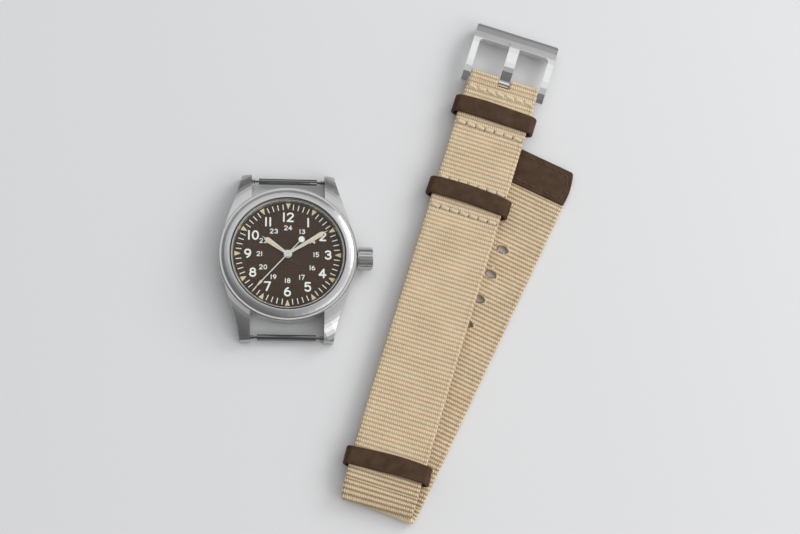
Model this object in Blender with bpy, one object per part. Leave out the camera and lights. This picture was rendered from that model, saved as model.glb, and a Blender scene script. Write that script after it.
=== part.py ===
"""A hand-wound field wristwatch, taken off its strap.

The watch head lies on its case back with its spring bars in the lugs. The folded webbing strap,
with its leather keepers and its buckle, lies beside it on the same plane.

Origin: centre of the case back's outer face. +Z goes out through the crystal, +Y to 12 o'clock
and +X to the crown. Dimensions are in millimetres and angles in degrees until a mesh is made.
"""

import math

import bmesh
import bpy
from mathutils import Matrix

MM = 0.001

# ---- facets on round pieces ----
ROUND = 56
MEDIUM = 32
SMALL = 16
TINY = 8

# ---- case ----
CASE_RADIUS = 19.0
CASE_TOP = 7.5
CASE_BOTTOM = 0.75
WALL_LOW = 3.9
WALL_HIGH = 6.9
BEZEL_RADIUS = 18.1
BEZEL_INNER = 15.85
BEZEL_LEDGE = 15.45
BEZEL_LOW = 6.93
BEZEL_TOP = 8.3
SEAT_GAP = 0.03
CRYSTAL_RADIUS = 15.5
CRYSTAL_LOW = 7.55
CRYSTAL_EDGE = 8.45
WATCH_HEIGHT = 9.5
MOVEMENT_BORE = 15.4
BACK_RADIUS = 16.9
BACK_RECESS = 17.0
BACK_THICK = 0.8
BACK_RIM = 1.3
BACK_SHELF = 1.7

# ---- lugs and spring bars ----
LUG_WIDTH = 20.1
LUG_TIP_Y = 23.5
LUG_TIP_X = 12.75
LUG_ROOT = (18.16, 4.87)
LUG_TIP_RADIUS = 27.0
LUG_TOP = 7.12
LUG_TIP_TOP = 2.9
LUG_TIP_LOW = 0.3
BAR_Y = 22.25
BAR_Z = 1.95
BAR_TUBE_RADIUS = 0.85
BAR_TUBE_LENGTH = 16.0
BAR_BORE = 0.6
BAR_MOUTH = 0.5
BAR_PIN_RADIUS = 0.38
BAR_FLANGE_RADIUS = 0.62
BAR_PIN_DEPTH = 0.85

# ---- dial and hands ----
DIAL_RADIUS = 15.3
DIAL_LOW = 6.15
DIAL_TOP = 6.55
DIAL_HOLE = 0.95
REHAUT_LOW_RADIUS = 14.75
REHAUT_TOP_RADIUS = 15.15
REHAUT_OUTER = 15.35
HOUR_HEADING = 304.8
MINUTE_HEADING = 57.7
SECOND_HEADING = 222.0
HOUR_HAND_Z = (6.78, 6.93)
MINUTE_HAND_Z = (7.02, 7.15)
SECOND_HAND_Z = (7.22, 7.32)

# ---- movement: places ----
PLATE_RADIUS = 12.8
ARBOR_SPACING = 4.6
THIRD_HEADING = 185.0
ESCAPE_SPACING = 4.62
ESCAPE_HEADING = 245.0
BARREL_SPACING = 6.4
CROWN_WHEEL_X = 8.1
MINUTE_WHEEL_SPACING = 3.2
MINUTE_WHEEL_HEADING = -60.0
BALANCE_CENTRE = (2.2, -8.2)
BALANCE_FOOT = (8.67, -6.77)
FORK_FROM_ESCAPE = 2.45
STEM_Z = 3.95

# ---- movement: teeth ----
CENTER_TEETH, THIRD_LEAVES = 45, 6
THIRD_TEETH, FOURTH_LEAVES = 48, 6
FOURTH_TEETH, ESCAPE_LEAVES = 60, 6
ESCAPE_TEETH = 15
BARREL_TEETH, CENTER_LEAVES = 56, 8
CANNON_LEAVES, MINUTE_TEETH = 8, 24
MINUTE_LEAVES, HOUR_TEETH = 6, 24
WINDING_TEETH, CONTRATE_TEETH = 12, 18
CROWN_WHEEL_TEETH, RATCHET_TEETH = 18, 39
WINDING_MODULE = 0.2
RATCHET_MODULE = 0.25

# ---- movement: levels, from the case back to the dial ----
RATCHET_Z = (1.02, 1.30)
BRIDGE_Z = (1.38, 1.98)
FOURTH_WHEEL_Z = (2.06, 2.21)
FOURTH_PINION_TOP = 2.70
THIRD_WHEEL_Z = (2.35, 2.53)
THIRD_PINION_Z = (2.62, 3.10)
CENTER_WHEEL_Z = (2.78, 2.96)
CENTER_PINION_Z = (3.92, 4.44)
BARREL_Z = (3.12, 4.38)
BARREL_TEETH_LOW = 4.18
ESCAPE_PINION_Z = (2.02, 2.32)
ESCAPE_WHEEL_Z = (3.50, 3.68)
FORK_Z = (3.55, 3.75)
PALLET_BRIDGE_Z = (3.15, 3.40)
BALANCE_RIM_Z = (2.55, 2.90)
HAIRSPRING_Z = (2.15, 2.35)
PLATE_LOW = 4.50
PLATE_TOP = 6.05
RECESS_FLOOR = 5.10
RECESS_RADIUS = 6.2
PIVOT_RADIUS = 0.12
PIVOT_HOLE = 0.20
PIVOT_LOW = 1.45
PIVOT_TOP = 4.85
PIVOT_HOLE_TOP = 4.95
SCREW_HOLE = 0.45

# ---- crown ----
CROWN_RADIUS = 3.2
CROWN_START = 19.25
CROWN_END = 23.3
CROWN_FLUTES = 26
TUBE_RADIUS = 1.0

# ---- strap ----
WEB_WIDTH = 20.0
WEB_THICK = 1.15
LAYER_GAP = 0.05
TAIL_LOW = 0.35
KEEPER_LOW = 1.6
LEATHER_THICK = 0.9
UPPER_ORIGIN = (23.35, -68.98)
UPPER_HEADING = 17.1
TAIL_ORIGIN = (24.89, -69.56)
TAIL_HEADING = 25.3
BEND_ROWS = 11
TAIL_WEB_END = 109.9
TIP_START = 100.6
TIP_END = 110.9
TIP_TOP = 1.85
HOLE_COUNT = 9
FIRST_HOLE = 81.5
HOLE_PITCH = 7.9
HOLE_SIZE = (3.1, 2.1)
FLAP_END = 86.5
SHORT_BAND = (9.6, 86.2)
KEEPER_PLACES = (116.8, 91.3, 12.0)
KEEPER_LENGTH = 5.0
KEEPER_OUTER = 23.8
KEEPER_INNER = 20.5

# ---- buckle ----
BAR_PLACE = 126.75
BUCKLE_BAR_RADIUS = 0.6
BUCKLE_WIDTH = 24.0
BUCKLE_LOW_END = 124.3
BUCKLE_HIGH_END = 142.6
BUCKLE_TOP_BAR = 4.7
BUCKLE_ARM = 1.9
TONGUE_WIDTH = 3.0
TONGUE_EYE = 1.35
TONGUE_TIP = 139.1
TONGUE_SLOT = 3.7
TONGUE_SLOT_START = 124.6

# ---- worked out from the above ----
SHORT_LOW = KEEPER_LOW + LEATHER_THICK + LAYER_GAP
UPPER_LOW = SHORT_LOW + WEB_THICK + LAYER_GAP
UPPER_TOP = UPPER_LOW + WEB_THICK
TAIL_TOP = TAIL_LOW + WEB_THICK
BEND_RADIUS = (UPPER_TOP - TAIL_LOW) / 2
BEND_Z = (UPPER_TOP + TAIL_LOW) / 2
BUCKLE_BAR_Z = (SHORT_LOW + UPPER_TOP) / 2
CENTER_MODULE = 2 * ARBOR_SPACING / (CENTER_TEETH + THIRD_LEAVES)
THIRD_MODULE = 2 * ARBOR_SPACING / (THIRD_TEETH + FOURTH_LEAVES)
FOURTH_MODULE = 2 * ESCAPE_SPACING / (FOURTH_TEETH + ESCAPE_LEAVES)
BARREL_MODULE = 2 * BARREL_SPACING / (BARREL_TEETH + CENTER_LEAVES)
CANNON_MODULE = 2 * MINUTE_WHEEL_SPACING / (CANNON_LEAVES + MINUTE_TEETH)
HOUR_MODULE = 2 * MINUTE_WHEEL_SPACING / (MINUTE_LEAVES + HOUR_TEETH)
WINDING_RADIUS = WINDING_MODULE * WINDING_TEETH / 2
CONTRATE_RADIUS = WINDING_MODULE * CONTRATE_TEETH / 2
RATCHET_SPACING = RATCHET_MODULE * (CROWN_WHEEL_TEETH + RATCHET_TEETH) / 2


# ---------------------------------------------------------------- plane geometry


def polar(radius, heading, centre=(0.0, 0.0)):
    """A point at a radius and an angle, anticlockwise from +X."""
    angle = math.radians(heading)
    return (centre[0] + radius * math.cos(angle), centre[1] + radius * math.sin(angle))


def heading_of(start, end):
    return math.degrees(math.atan2(end[1] - start[1], end[0] - start[0]))


def arc(radius, start, end, count, centre=(0.0, 0.0)):
    """Points along an arc, both ends included."""
    step = (end - start) / (count - 1)
    return [polar(radius, start + step * i, centre) for i in range(count)]


def circle(radius, count=SMALL, centre=(0.0, 0.0)):
    return tuple(polar(radius, 360.0 * i / count, centre) for i in range(count))


def rectangle(x_low, x_high, y_low, y_high):
    return ((x_low, y_low), (x_high, y_low), (x_high, y_high), (x_low, y_high))


def curve(start, pull_start, pull_end, end, count):
    """Points along a cubic curve, both ends included."""
    points = []
    for i in range(count):
        t = i / (count - 1)
        u = 1.0 - t
        weights = (u**3, 3 * u * u * t, 3 * u * t * t, t**3)
        ends = (start, pull_start, pull_end, end)
        points.append(tuple(sum(w * p[axis] for w, p in zip(weights, ends)) for axis in (0, 1)))
    return points


def sector(inner, outer, start, end, count=8, centre=(0.0, 0.0)):
    """A piece of a ring between two angles."""
    return tuple(arc(outer, start, end, count, centre) + arc(inner, end, start, count, centre))


def capsule(start, start_radius, end, end_radius, count=9):
    """Two round ends joined by straight sides."""
    along = heading_of(start, end)
    near = arc(start_radius, along + 90, along + 270, count, start)
    far = arc(end_radius, along - 90, along + 90, count, end)
    return tuple(near + far)


def gear(teeth, module, tooth_heading=0.0):
    """A ring of teeth, one of them centred on tooth_heading; wheels have pointed ones."""
    pitch = 360.0 / teeth
    root = module * (teeth / 2 - 1.25)
    tip = module * (teeth / 2 + 1.0)
    if teeth < 20:
        flank = ((root, -0.33), (tip, -0.12), (tip, 0.12), (root, 0.33))
    else:
        flank = ((root, -0.3), (tip, 0.0), (root, 0.3))
    points = []
    for tooth in range(teeth):
        for radius, share in flank:
            points.append(polar(radius, tooth_heading + pitch * (tooth + share)))
    return tuple(points)


def gap_heading(toward_partner, teeth):
    """Where a wheel's first tooth goes so that a gap faces its partner's tooth."""
    return toward_partner + 180.0 / teeth


def windows(count, inner, outer, arm_degrees, start=0.0):
    """The openings between a wheel's arms."""
    pitch = 360.0 / count
    half_arm = arm_degrees / 2
    starts = [start + pitch * i for i in range(count)]
    return [sector(inner, outer, low + half_arm, low + pitch - half_arm, 6) for low in starts]


def spiral(inner, outer, turns, thick, per_turn):
    """A flat spring: a strip wound from the inner radius to the outer one."""
    count = int(turns * per_turn)
    outside, inside = [], []
    for i in range(count + 1):
        radius = inner + (outer - inner) * i / count
        outside.append(polar(radius + thick / 2, 360.0 * turns * i / count))
        inside.append(polar(radius - thick / 2, 360.0 * turns * i / count))
    return tuple(outside + inside[::-1])


# ---------------------------------------------------------------- solids


def stack(*levels):
    """A solid of prisms standing on one another: z, loops, z, loops, ... z.

    Loops are closed outlines and holes. A loop given on both sides of a level runs straight
    through it, and the loops that end at a level border its flat faces.
    """
    runs = {}
    for low, loops, high in zip(levels[0::2], levels[1::2], levels[2::2]):
        for loop in loops:
            runs[loop, high] = runs.pop((loop, low), low)
    bm = bmesh.new()
    borders = {}
    for (loop, high), low in runs.items():
        lower = [bm.verts.new((x, y, low)) for x, y in loop]
        upper = [bm.verts.new((x, y, high)) for x, y in loop]
        for i in range(len(loop)):
            bm.faces.new((lower[i - 1], lower[i], upper[i], upper[i - 1]))
        for z, verts in ((low, lower), (high, upper)):
            edges = borders.setdefault(z, [])
            edges += [bm.edges.get((verts[i - 1], verts[i])) for i in range(len(verts))]
    for edges in borders.values():
        bmesh.ops.triangle_fill(bm, edges=edges, use_beauty=True)
    return bm


def lathe(profile, count=ROUND):
    """A closed (radius, z) profile turned about Z. A point at radius 0 becomes a pole."""
    bm = bmesh.new()
    rings = []
    for radius, z in profile:
        spots = [polar(radius, 360.0 * i / count) for i in range(count)] if radius else [(0.0, 0.0)]
        rings.append([bm.verts.new((x, y, z)) for x, y in spots])
    for lower, upper in zip(rings, rings[1:] + rings[:1]):
        for i in range(count):
            j = (i + 1) % count
            below = [lower[k % len(lower)] for k in (i, j)]
            above = [upper[k % len(upper)] for k in (j, i)]
            distinct = list(dict.fromkeys(below + above))
            if len(distinct) > 2:
                bm.faces.new(distinct)
    return bm


def side_prism(x_low, loops, x_high):
    """Loops in the YZ plane, carried along X."""
    bm = stack(x_low, [tuple(loop) for loop in loops], x_high)
    z_to_x = Matrix(((0, 0, 1, 0), (1, 0, 0, 0), (0, 1, 0, 0), (0, 0, 0, 1)))
    bmesh.ops.transform(bm, matrix=z_to_x, verts=bm.verts)
    return bm


# ---------------------------------------------------------------- objects and materials


def material(name, colour, roughness, metallic=0.0, alpha=1.0):
    made = bpy.data.materials.new(name)
    made.use_nodes = True
    shader = made.node_tree.nodes["Principled BSDF"]
    shader.inputs["Base Color"].default_value = (*colour, 1.0)
    shader.inputs["Roughness"].default_value = roughness
    shader.inputs["Metallic"].default_value = metallic
    shader.inputs["Alpha"].default_value = alpha
    made.diffuse_color = (*colour, alpha)
    return made


def make_materials():
    return {
        "brushed_steel": material("brushed_steel", (0.58, 0.58, 0.57), 0.34, 1.0),
        "polished_steel": material("polished_steel", (0.62, 0.62, 0.62), 0.12, 1.0),
        "brass": material("brass", (0.60, 0.45, 0.20), 0.30, 1.0),
        "spring_steel": material("spring_steel", (0.20, 0.22, 0.28), 0.25, 1.0),
        "crystal": material("crystal", (0.9, 0.93, 0.92), 0.02, 0.0, 0.3),
        "rubber": material("rubber", (0.02, 0.02, 0.02), 0.7),
        "dial": material("dial", (0.069, 0.047, 0.034), 0.6),
        "hands": material("hands", (0.72, 0.63, 0.43), 0.4, 0.3),
        "webbing": material("webbing", (0.54, 0.43, 0.28), 0.9),
        "leather": material("leather", (0.076, 0.042, 0.026), 0.55),
        "ring_holder": material("ring_holder", (0.35, 0.35, 0.36), 0.5),
    }


def pivot(name, place=(0.0, 0.0, 0.0), heading=0.0, parent=None):
    """An empty on a joint's axis. heading turns it clockwise from +Y, seen from above."""
    made = bpy.data.objects.new(name, None)
    bpy.context.scene.collection.objects.link(made)
    made.empty_display_size = 2 * MM
    turn = Matrix.Rotation(-math.radians(heading), 4, "Z")
    made.matrix_world = Matrix.Translation([v * MM for v in place]) @ turn
    if parent:
        bpy.context.view_layer.update()
        world = made.matrix_world.copy()
        made.parent = parent
        made.matrix_world = world
    return made


def piece(name, bm, finish, frame, along_x=False, smooth_angle=35.0):
    """A bmesh in millimetres becomes a named object in metres, in its frame's own axes."""
    bmesh.ops.remove_doubles(bm, verts=bm.verts, dist=1e-5)
    bmesh.ops.recalc_face_normals(bm, faces=bm.faces)
    turn = Matrix.Rotation(math.radians(90), 4, "Y") if along_x else Matrix.Identity(4)
    bmesh.ops.transform(bm, matrix=turn @ Matrix.Scale(MM, 4), verts=bm.verts)
    mesh = bpy.data.meshes.new(name)
    bm.to_mesh(mesh)
    bm.free()
    mesh.shade_smooth()
    mesh.set_sharp_from_angle(angle=math.radians(smooth_angle))
    made = bpy.data.objects.new(name, mesh)
    bpy.context.scene.collection.objects.link(made)
    if finish:
        mesh.materials.append(finish)
    made.parent = frame
    return made


def tool(name, bm, frame, along_x=False):
    """A shape that only cuts or joins others."""
    made = piece(name, bm, None, frame, along_x)
    made.hide_render = True
    made.display_type = "WIRE"
    return made


def combine(target, other, operation):
    step = target.modifiers.new(other.name, "BOOLEAN")
    step.operation = operation
    step.object = other


# ---------------------------------------------------------------- case


def lug_points(side_x, side_y):
    """Plan of one lug: straight inner face, and an outer face that sweeps into the case."""
    outer = curve((LUG_TIP_X, LUG_TIP_Y), (13.3, 18.2), (16.6, 11.2), LUG_ROOT, 13)
    inner = [(15.2, 7.5), (LUG_WIDTH / 2, 14.0), (LUG_WIDTH / 2, LUG_TIP_Y)]
    return tuple((side_x * x, side_y * y) for x, y in outer + inner)


def lug_profile():
    """Section of the lugs as (radius, z): they are turned, so that their tops fall away outwards."""
    top = curve((18.0, LUG_TOP), (21.2, LUG_TOP - 0.1), (24.0, 6.0), (LUG_TIP_RADIUS, LUG_TIP_TOP), 10)
    under = curve((LUG_TIP_RADIUS, LUG_TIP_LOW), (24.0, 0.15), (20.5, 0.9), (18.3, 2.4), 7)
    return [(16.6, LUG_TOP)] + top + under + [(16.6, 2.4)]


def make_case(steel, frame):
    outside = [(0, CASE_BOTTOM), (17.8, CASE_BOTTOM), (CASE_RADIUS, WALL_LOW), (CASE_RADIUS, WALL_HIGH)]
    outside += [(18.9, 7.25), (18.65, CASE_TOP), (0, CASE_TOP)]
    case = piece("case_middle", lathe(outside), steel, frame)
    shape = tool("lug_profile", lathe(lug_profile()), frame)
    for side_y in (1, -1):
        for side_x in (1, -1):
            blank = stack(-0.5, [lug_points(side_x, side_y)], CASE_TOP + 0.5)
            lug = tool(f"lug_{side_x}_{side_y}", blank, frame)
            combine(lug, shape, "INTERSECT")
            combine(case, lug, "UNION")
    bezel_seat = BEZEL_RADIUS + SEAT_GAP
    cavity = [(0, -1), (BACK_RECESS, -1), (BACK_RECESS, BACK_SHELF), (MOVEMENT_BORE, BACK_SHELF)]
    cavity += [(MOVEMENT_BORE, WALL_HIGH), (bezel_seat, WALL_HIGH), (bezel_seat, 9), (0, 9)]
    combine(case, tool("cavity", lathe(cavity), frame), "DIFFERENCE")
    bore = tool("crown_bore", stack(12.0, [circle(TUBE_RADIUS + 0.02)], 20.0), frame, along_x=True)
    bore.location.z = STEM_Z * MM
    combine(case, bore, "DIFFERENCE")
    hole_end = LUG_WIDTH / 2 + BAR_PIN_DEPTH + 0.1
    for side_y in (1, -1):
        drill = stack(-hole_end, [circle(BAR_PIN_RADIUS + 0.06)], hole_end)
        hole = tool(f"bar_hole_{side_y}", drill, frame, along_x=True)
        hole.location = (0, side_y * BAR_Y * MM, BAR_Z * MM)
        combine(case, hole, "DIFFERENCE")


def make_bezel_and_crystal(materials, frame):
    bezel = [(BEZEL_LEDGE, BEZEL_LOW), (BEZEL_RADIUS, BEZEL_LOW), (BEZEL_RADIUS, 7.6), (17.95, 7.76)]
    bezel += [(17.3, 8.03), (16.6, 8.22), (16.15, BEZEL_TOP), (15.95, BEZEL_TOP), (BEZEL_INNER, 8.2)]
    bezel += [(BEZEL_INNER, CASE_TOP), (BEZEL_LEDGE, CASE_TOP)]
    piece("bezel", lathe(bezel), materials["brushed_steel"], frame)
    dome = [(0, CRYSTAL_LOW), (CRYSTAL_RADIUS, CRYSTAL_LOW), (CRYSTAL_RADIUS, CRYSTAL_EDGE)]
    rings = 5
    for i in range(1, rings + 1):
        radius = (CRYSTAL_RADIUS - 0.2) * (1 - i / rings)
        rise = (WATCH_HEIGHT - CRYSTAL_EDGE - 0.12) * (1 - (radius / CRYSTAL_RADIUS) ** 2)
        dome.append((radius, CRYSTAL_EDGE + 0.12 + rise))
    piece("crystal", lathe(dome), materials["crystal"], frame)
    gasket = [(CRYSTAL_RADIUS + SEAT_GAP, 7.55), (BEZEL_INNER - SEAT_GAP, 7.55)]
    gasket += [(BEZEL_INNER - SEAT_GAP, 8.08), (CRYSTAL_RADIUS + SEAT_GAP, 8.12)]
    piece("crystal_gasket", lathe(gasket), materials["rubber"], frame)


def make_back(materials, frame):
    back = [(0, 0), (15.4, 0), (16.2, 0.18), (BACK_RADIUS, 0.6), (BACK_RADIUS, BACK_RIM)]
    back += [(15.5, BACK_RIM), (15.5, BACK_THICK), (0, BACK_THICK)]
    piece("case_back", lathe(back), materials["brushed_steel"], frame)
    low, high = BACK_RIM + 0.02, BACK_SHELF - 0.02
    gasket = [(15.7, low), (16.7, low), (16.7, high), (15.7, high)]
    piece("case_back_gasket", lathe(gasket, MEDIUM), materials["rubber"], frame)


def make_dial(materials, frame):
    dial = [(DIAL_HOLE, DIAL_LOW), (DIAL_RADIUS, DIAL_LOW), (DIAL_RADIUS, DIAL_TOP), (DIAL_HOLE, DIAL_TOP)]
    piece("dial", lathe(dial), materials["dial"], frame)
    ring = [(REHAUT_LOW_RADIUS, DIAL_TOP + 0.04), (REHAUT_OUTER, DIAL_TOP + 0.04)]
    ring += [(REHAUT_OUTER, 7.5), (REHAUT_TOP_RADIUS, 7.5)]
    piece("rehaut_ring", lathe(ring), materials["polished_steel"], frame)
    holder = [(13.0, 1.8), (15.3, 1.8), (15.3, DIAL_LOW - 0.05), (13.0, DIAL_LOW - 0.05)]
    held = piece("movement_ring", lathe(holder, MEDIUM), materials["ring_holder"], frame)
    stem_way = tool("stem_way", stack(12.0, [circle(0.62)], 16.0), frame, along_x=True)
    stem_way.location.z = STEM_Z * MM
    combine(held, stem_way, "DIFFERENCE")


# ---------------------------------------------------------------- hands


def hand_outline(boss, neck, shoulder, width, body_end, tip):
    """A hand along +Y: round boss, a body that widens outwards from a narrow neck, and a needle tip."""
    right = [(neck / 2, shoulder), (width / 2, body_end - 0.7), (0.16, body_end), (0.06, tip)]
    left = [(-x, y) for x, y in reversed(right)]
    return tuple(right + left + arc(boss, 110, 430, 17))


def second_outline():
    """A thin needle along +Y with an arrow near the tip and a round counterweight."""
    right = [(0.14, 10.2), (0.38, 10.9), (0.12, 12.4), (0.05, 14.0)]
    left = [(-x, y) for x, y in reversed(right)]
    hub_left = arc(0.85, 100, 260, 9)
    weight = arc(0.87, 98, 442, 21, (0.0, -5.5))
    hub_right = arc(0.85, 280, 440, 9)
    return tuple(right + left + hub_left + weight + hub_right)


def make_hands(materials, frames):
    hour = hand_outline(boss=1.15, neck=0.75, shoulder=1.4, width=1.5, body_end=7.6, tip=8.5)
    minute = hand_outline(boss=0.95, neck=0.65, shoulder=1.3, width=1.35, body_end=11.4, tip=12.7)
    shapes = (
        ("hour_hand", "hour", HOUR_HEADING, HOUR_HAND_Z, hour, 0.79),
        ("minute_hand", "minute", MINUTE_HEADING, MINUTE_HAND_Z, minute, 0.52),
        ("second_hand", "seconds", SECOND_HEADING, SECOND_HAND_Z, second_outline(), 0.17),
    )
    for name, frame, heading, (low, high), outline, hole in shapes:
        made = piece(name, stack(low, [outline, circle(hole)], high), materials["hands"], frames[frame])
        made.rotation_euler.z = -math.radians(heading)


# ---------------------------------------------------------------- movement


def places():
    """Axes of the movement's wheels."""
    escape = polar(ESCAPE_SPACING, ESCAPE_HEADING)
    toward_balance = heading_of(escape, BALANCE_CENTRE)
    spread = BARREL_SPACING**2 + CROWN_WHEEL_X**2 - RATCHET_SPACING**2
    barrel_heading = math.degrees(math.acos(spread / (2 * BARREL_SPACING * CROWN_WHEEL_X)))
    return {
        "third": polar(ARBOR_SPACING, THIRD_HEADING),
        "escape": escape,
        "barrel": polar(BARREL_SPACING, barrel_heading),
        "crown_wheel": (CROWN_WHEEL_X, 0.0),
        "minute_wheel": polar(MINUTE_WHEEL_SPACING, MINUTE_WHEEL_HEADING),
        "fork": polar(FORK_FROM_ESCAPE, toward_balance, escape),
        "balance": BALANCE_CENTRE,
    }


SCREWS = {
    "barrel_bridge_screw_1": polar(11.0, 120),
    "barrel_bridge_screw_2": polar(11.0, -20),
    "train_bridge_screw_1": polar(11.0, 150),
    "train_bridge_screw_2": polar(11.0, 225),
    "balance_cock_screw": BALANCE_FOOT,
}


def make_plate(materials, frame, at):
    outline = circle(PLATE_RADIUS, MEDIUM)
    centre = circle(0.36, SMALL)
    recess = circle(RECESS_RADIUS, MEDIUM)
    post = circle(0.3, TINY, at["minute_wheel"])
    crown_post = circle(0.6, SMALL, at["crown_wheel"])
    block = rectangle(11.0, 12.4, -1.3, 1.3)
    pocket = rectangle(9.45, 10.35, -1.6, 1.6)
    pivots = [circle(PIVOT_HOLE, TINY, at[name]) for name in ("third", "escape", "fork", "balance")]
    pivots.append(circle(0.58, SMALL, at["barrel"]))
    pivots += [circle(SCREW_HOLE, TINY, place) for place in SCREWS.values()]
    solid = stack(
        RATCHET_Z[0], [crown_post],
        3.3, [crown_post, block],
        PLATE_LOW, [outline, centre, pocket] + pivots,
        PIVOT_HOLE_TOP, [outline, centre, pocket],
        RECESS_FLOOR, [outline, recess, post, pocket],
        5.5, [outline, recess, post],
        PLATE_TOP,
    )
    plate = piece("main_plate", solid, materials["brass"], frame)
    way = tool("plate_stem_way", stack(10.8, [circle(0.56, SMALL)], 13.0), frame, along_x=True)
    way.location.z = STEM_Z * MM
    combine(plate, way, "DIFFERENCE")


def make_bridges(materials, frame, at):
    finish = materials["brushed_steel"]
    low, high = BRIDGE_Z
    foot_top = PLATE_LOW - 0.02

    def holes(*names):
        return [circle(SCREW_HOLE, TINY, SCREWS[name]) for name in names]

    def feet(*names):
        return [circle(1.2, SMALL, SCREWS[name]) for name in names]

    barrel_screws = ("barrel_bridge_screw_1", "barrel_bridge_screw_2")
    outline = sector(2.4, 12.6, -27, 127, 20)
    click_post = circle(0.3, TINY, click_pivot(at))
    openings = [circle(0.7, SMALL, at["barrel"]), circle(2.1, SMALL, at["crown_wheel"])]
    drilled = holes(*barrel_screws)
    solid = stack(
        RATCHET_Z[0], [click_post],
        low, [outline] + openings + drilled,
        high, feet(*barrel_screws) + drilled,
        foot_top,
    )
    piece("barrel_bridge", solid, finish, frame)

    train_screws = ("train_bridge_screw_1", "train_bridge_screw_2")
    outline = tuple(arc(12.6, 135, 262, 18) + arc(2.0, -98, 135, 12))
    pivots = [circle(PIVOT_HOLE, TINY, place) for place in ((0.0, 0.0), at["third"], at["escape"])]
    drilled = holes(*train_screws)
    solid = stack(low, [outline] + pivots + drilled, high, feet(*train_screws) + drilled, foot_top)
    piece("train_bridge", solid, finish, frame)

    outline = capsule(BALANCE_FOOT, 1.5, BALANCE_CENTRE, 0.9)
    stud = circle(0.15, TINY, polar(2.62, heading_of(BALANCE_CENTRE, BALANCE_FOOT), BALANCE_CENTRE))
    staff_hole = circle(PIVOT_HOLE, TINY, BALANCE_CENTRE)
    drilled = holes("balance_cock_screw")
    foot = feet("balance_cock_screw")
    solid = stack(
        low, [outline, staff_hole] + drilled,
        high, [stud] + foot + drilled,
        HAIRSPRING_Z[1], foot + drilled,
        foot_top,
    )
    piece("balance_cock", solid, finish, frame)

    foot_place = polar(2.2, heading_of(at["escape"], BALANCE_CENTRE) - 90, at["fork"])
    outline = capsule(foot_place, 0.65, at["fork"], 0.5)
    foot = circle(0.6, SMALL, foot_place)
    hole = circle(PIVOT_HOLE, TINY, at["fork"])
    solid = stack(PALLET_BRIDGE_Z[0], [outline, hole], PALLET_BRIDGE_Z[1], [foot], foot_top)
    piece("pallet_bridge", solid, finish, frame)

    for name, place in SCREWS.items():
        slot = [tuple(arc(0.66, side - 78, side + 78, 6, place)) for side in (0, 180)]
        head = circle(0.75, 12, place)
        shank = circle(0.38, TINY, place)
        solid = stack(low - 0.3, slot, low - 0.18, [head], low - 0.02, [shank], PIVOT_TOP)
        piece(name, solid, materials["spring_steel"], frame)


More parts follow.
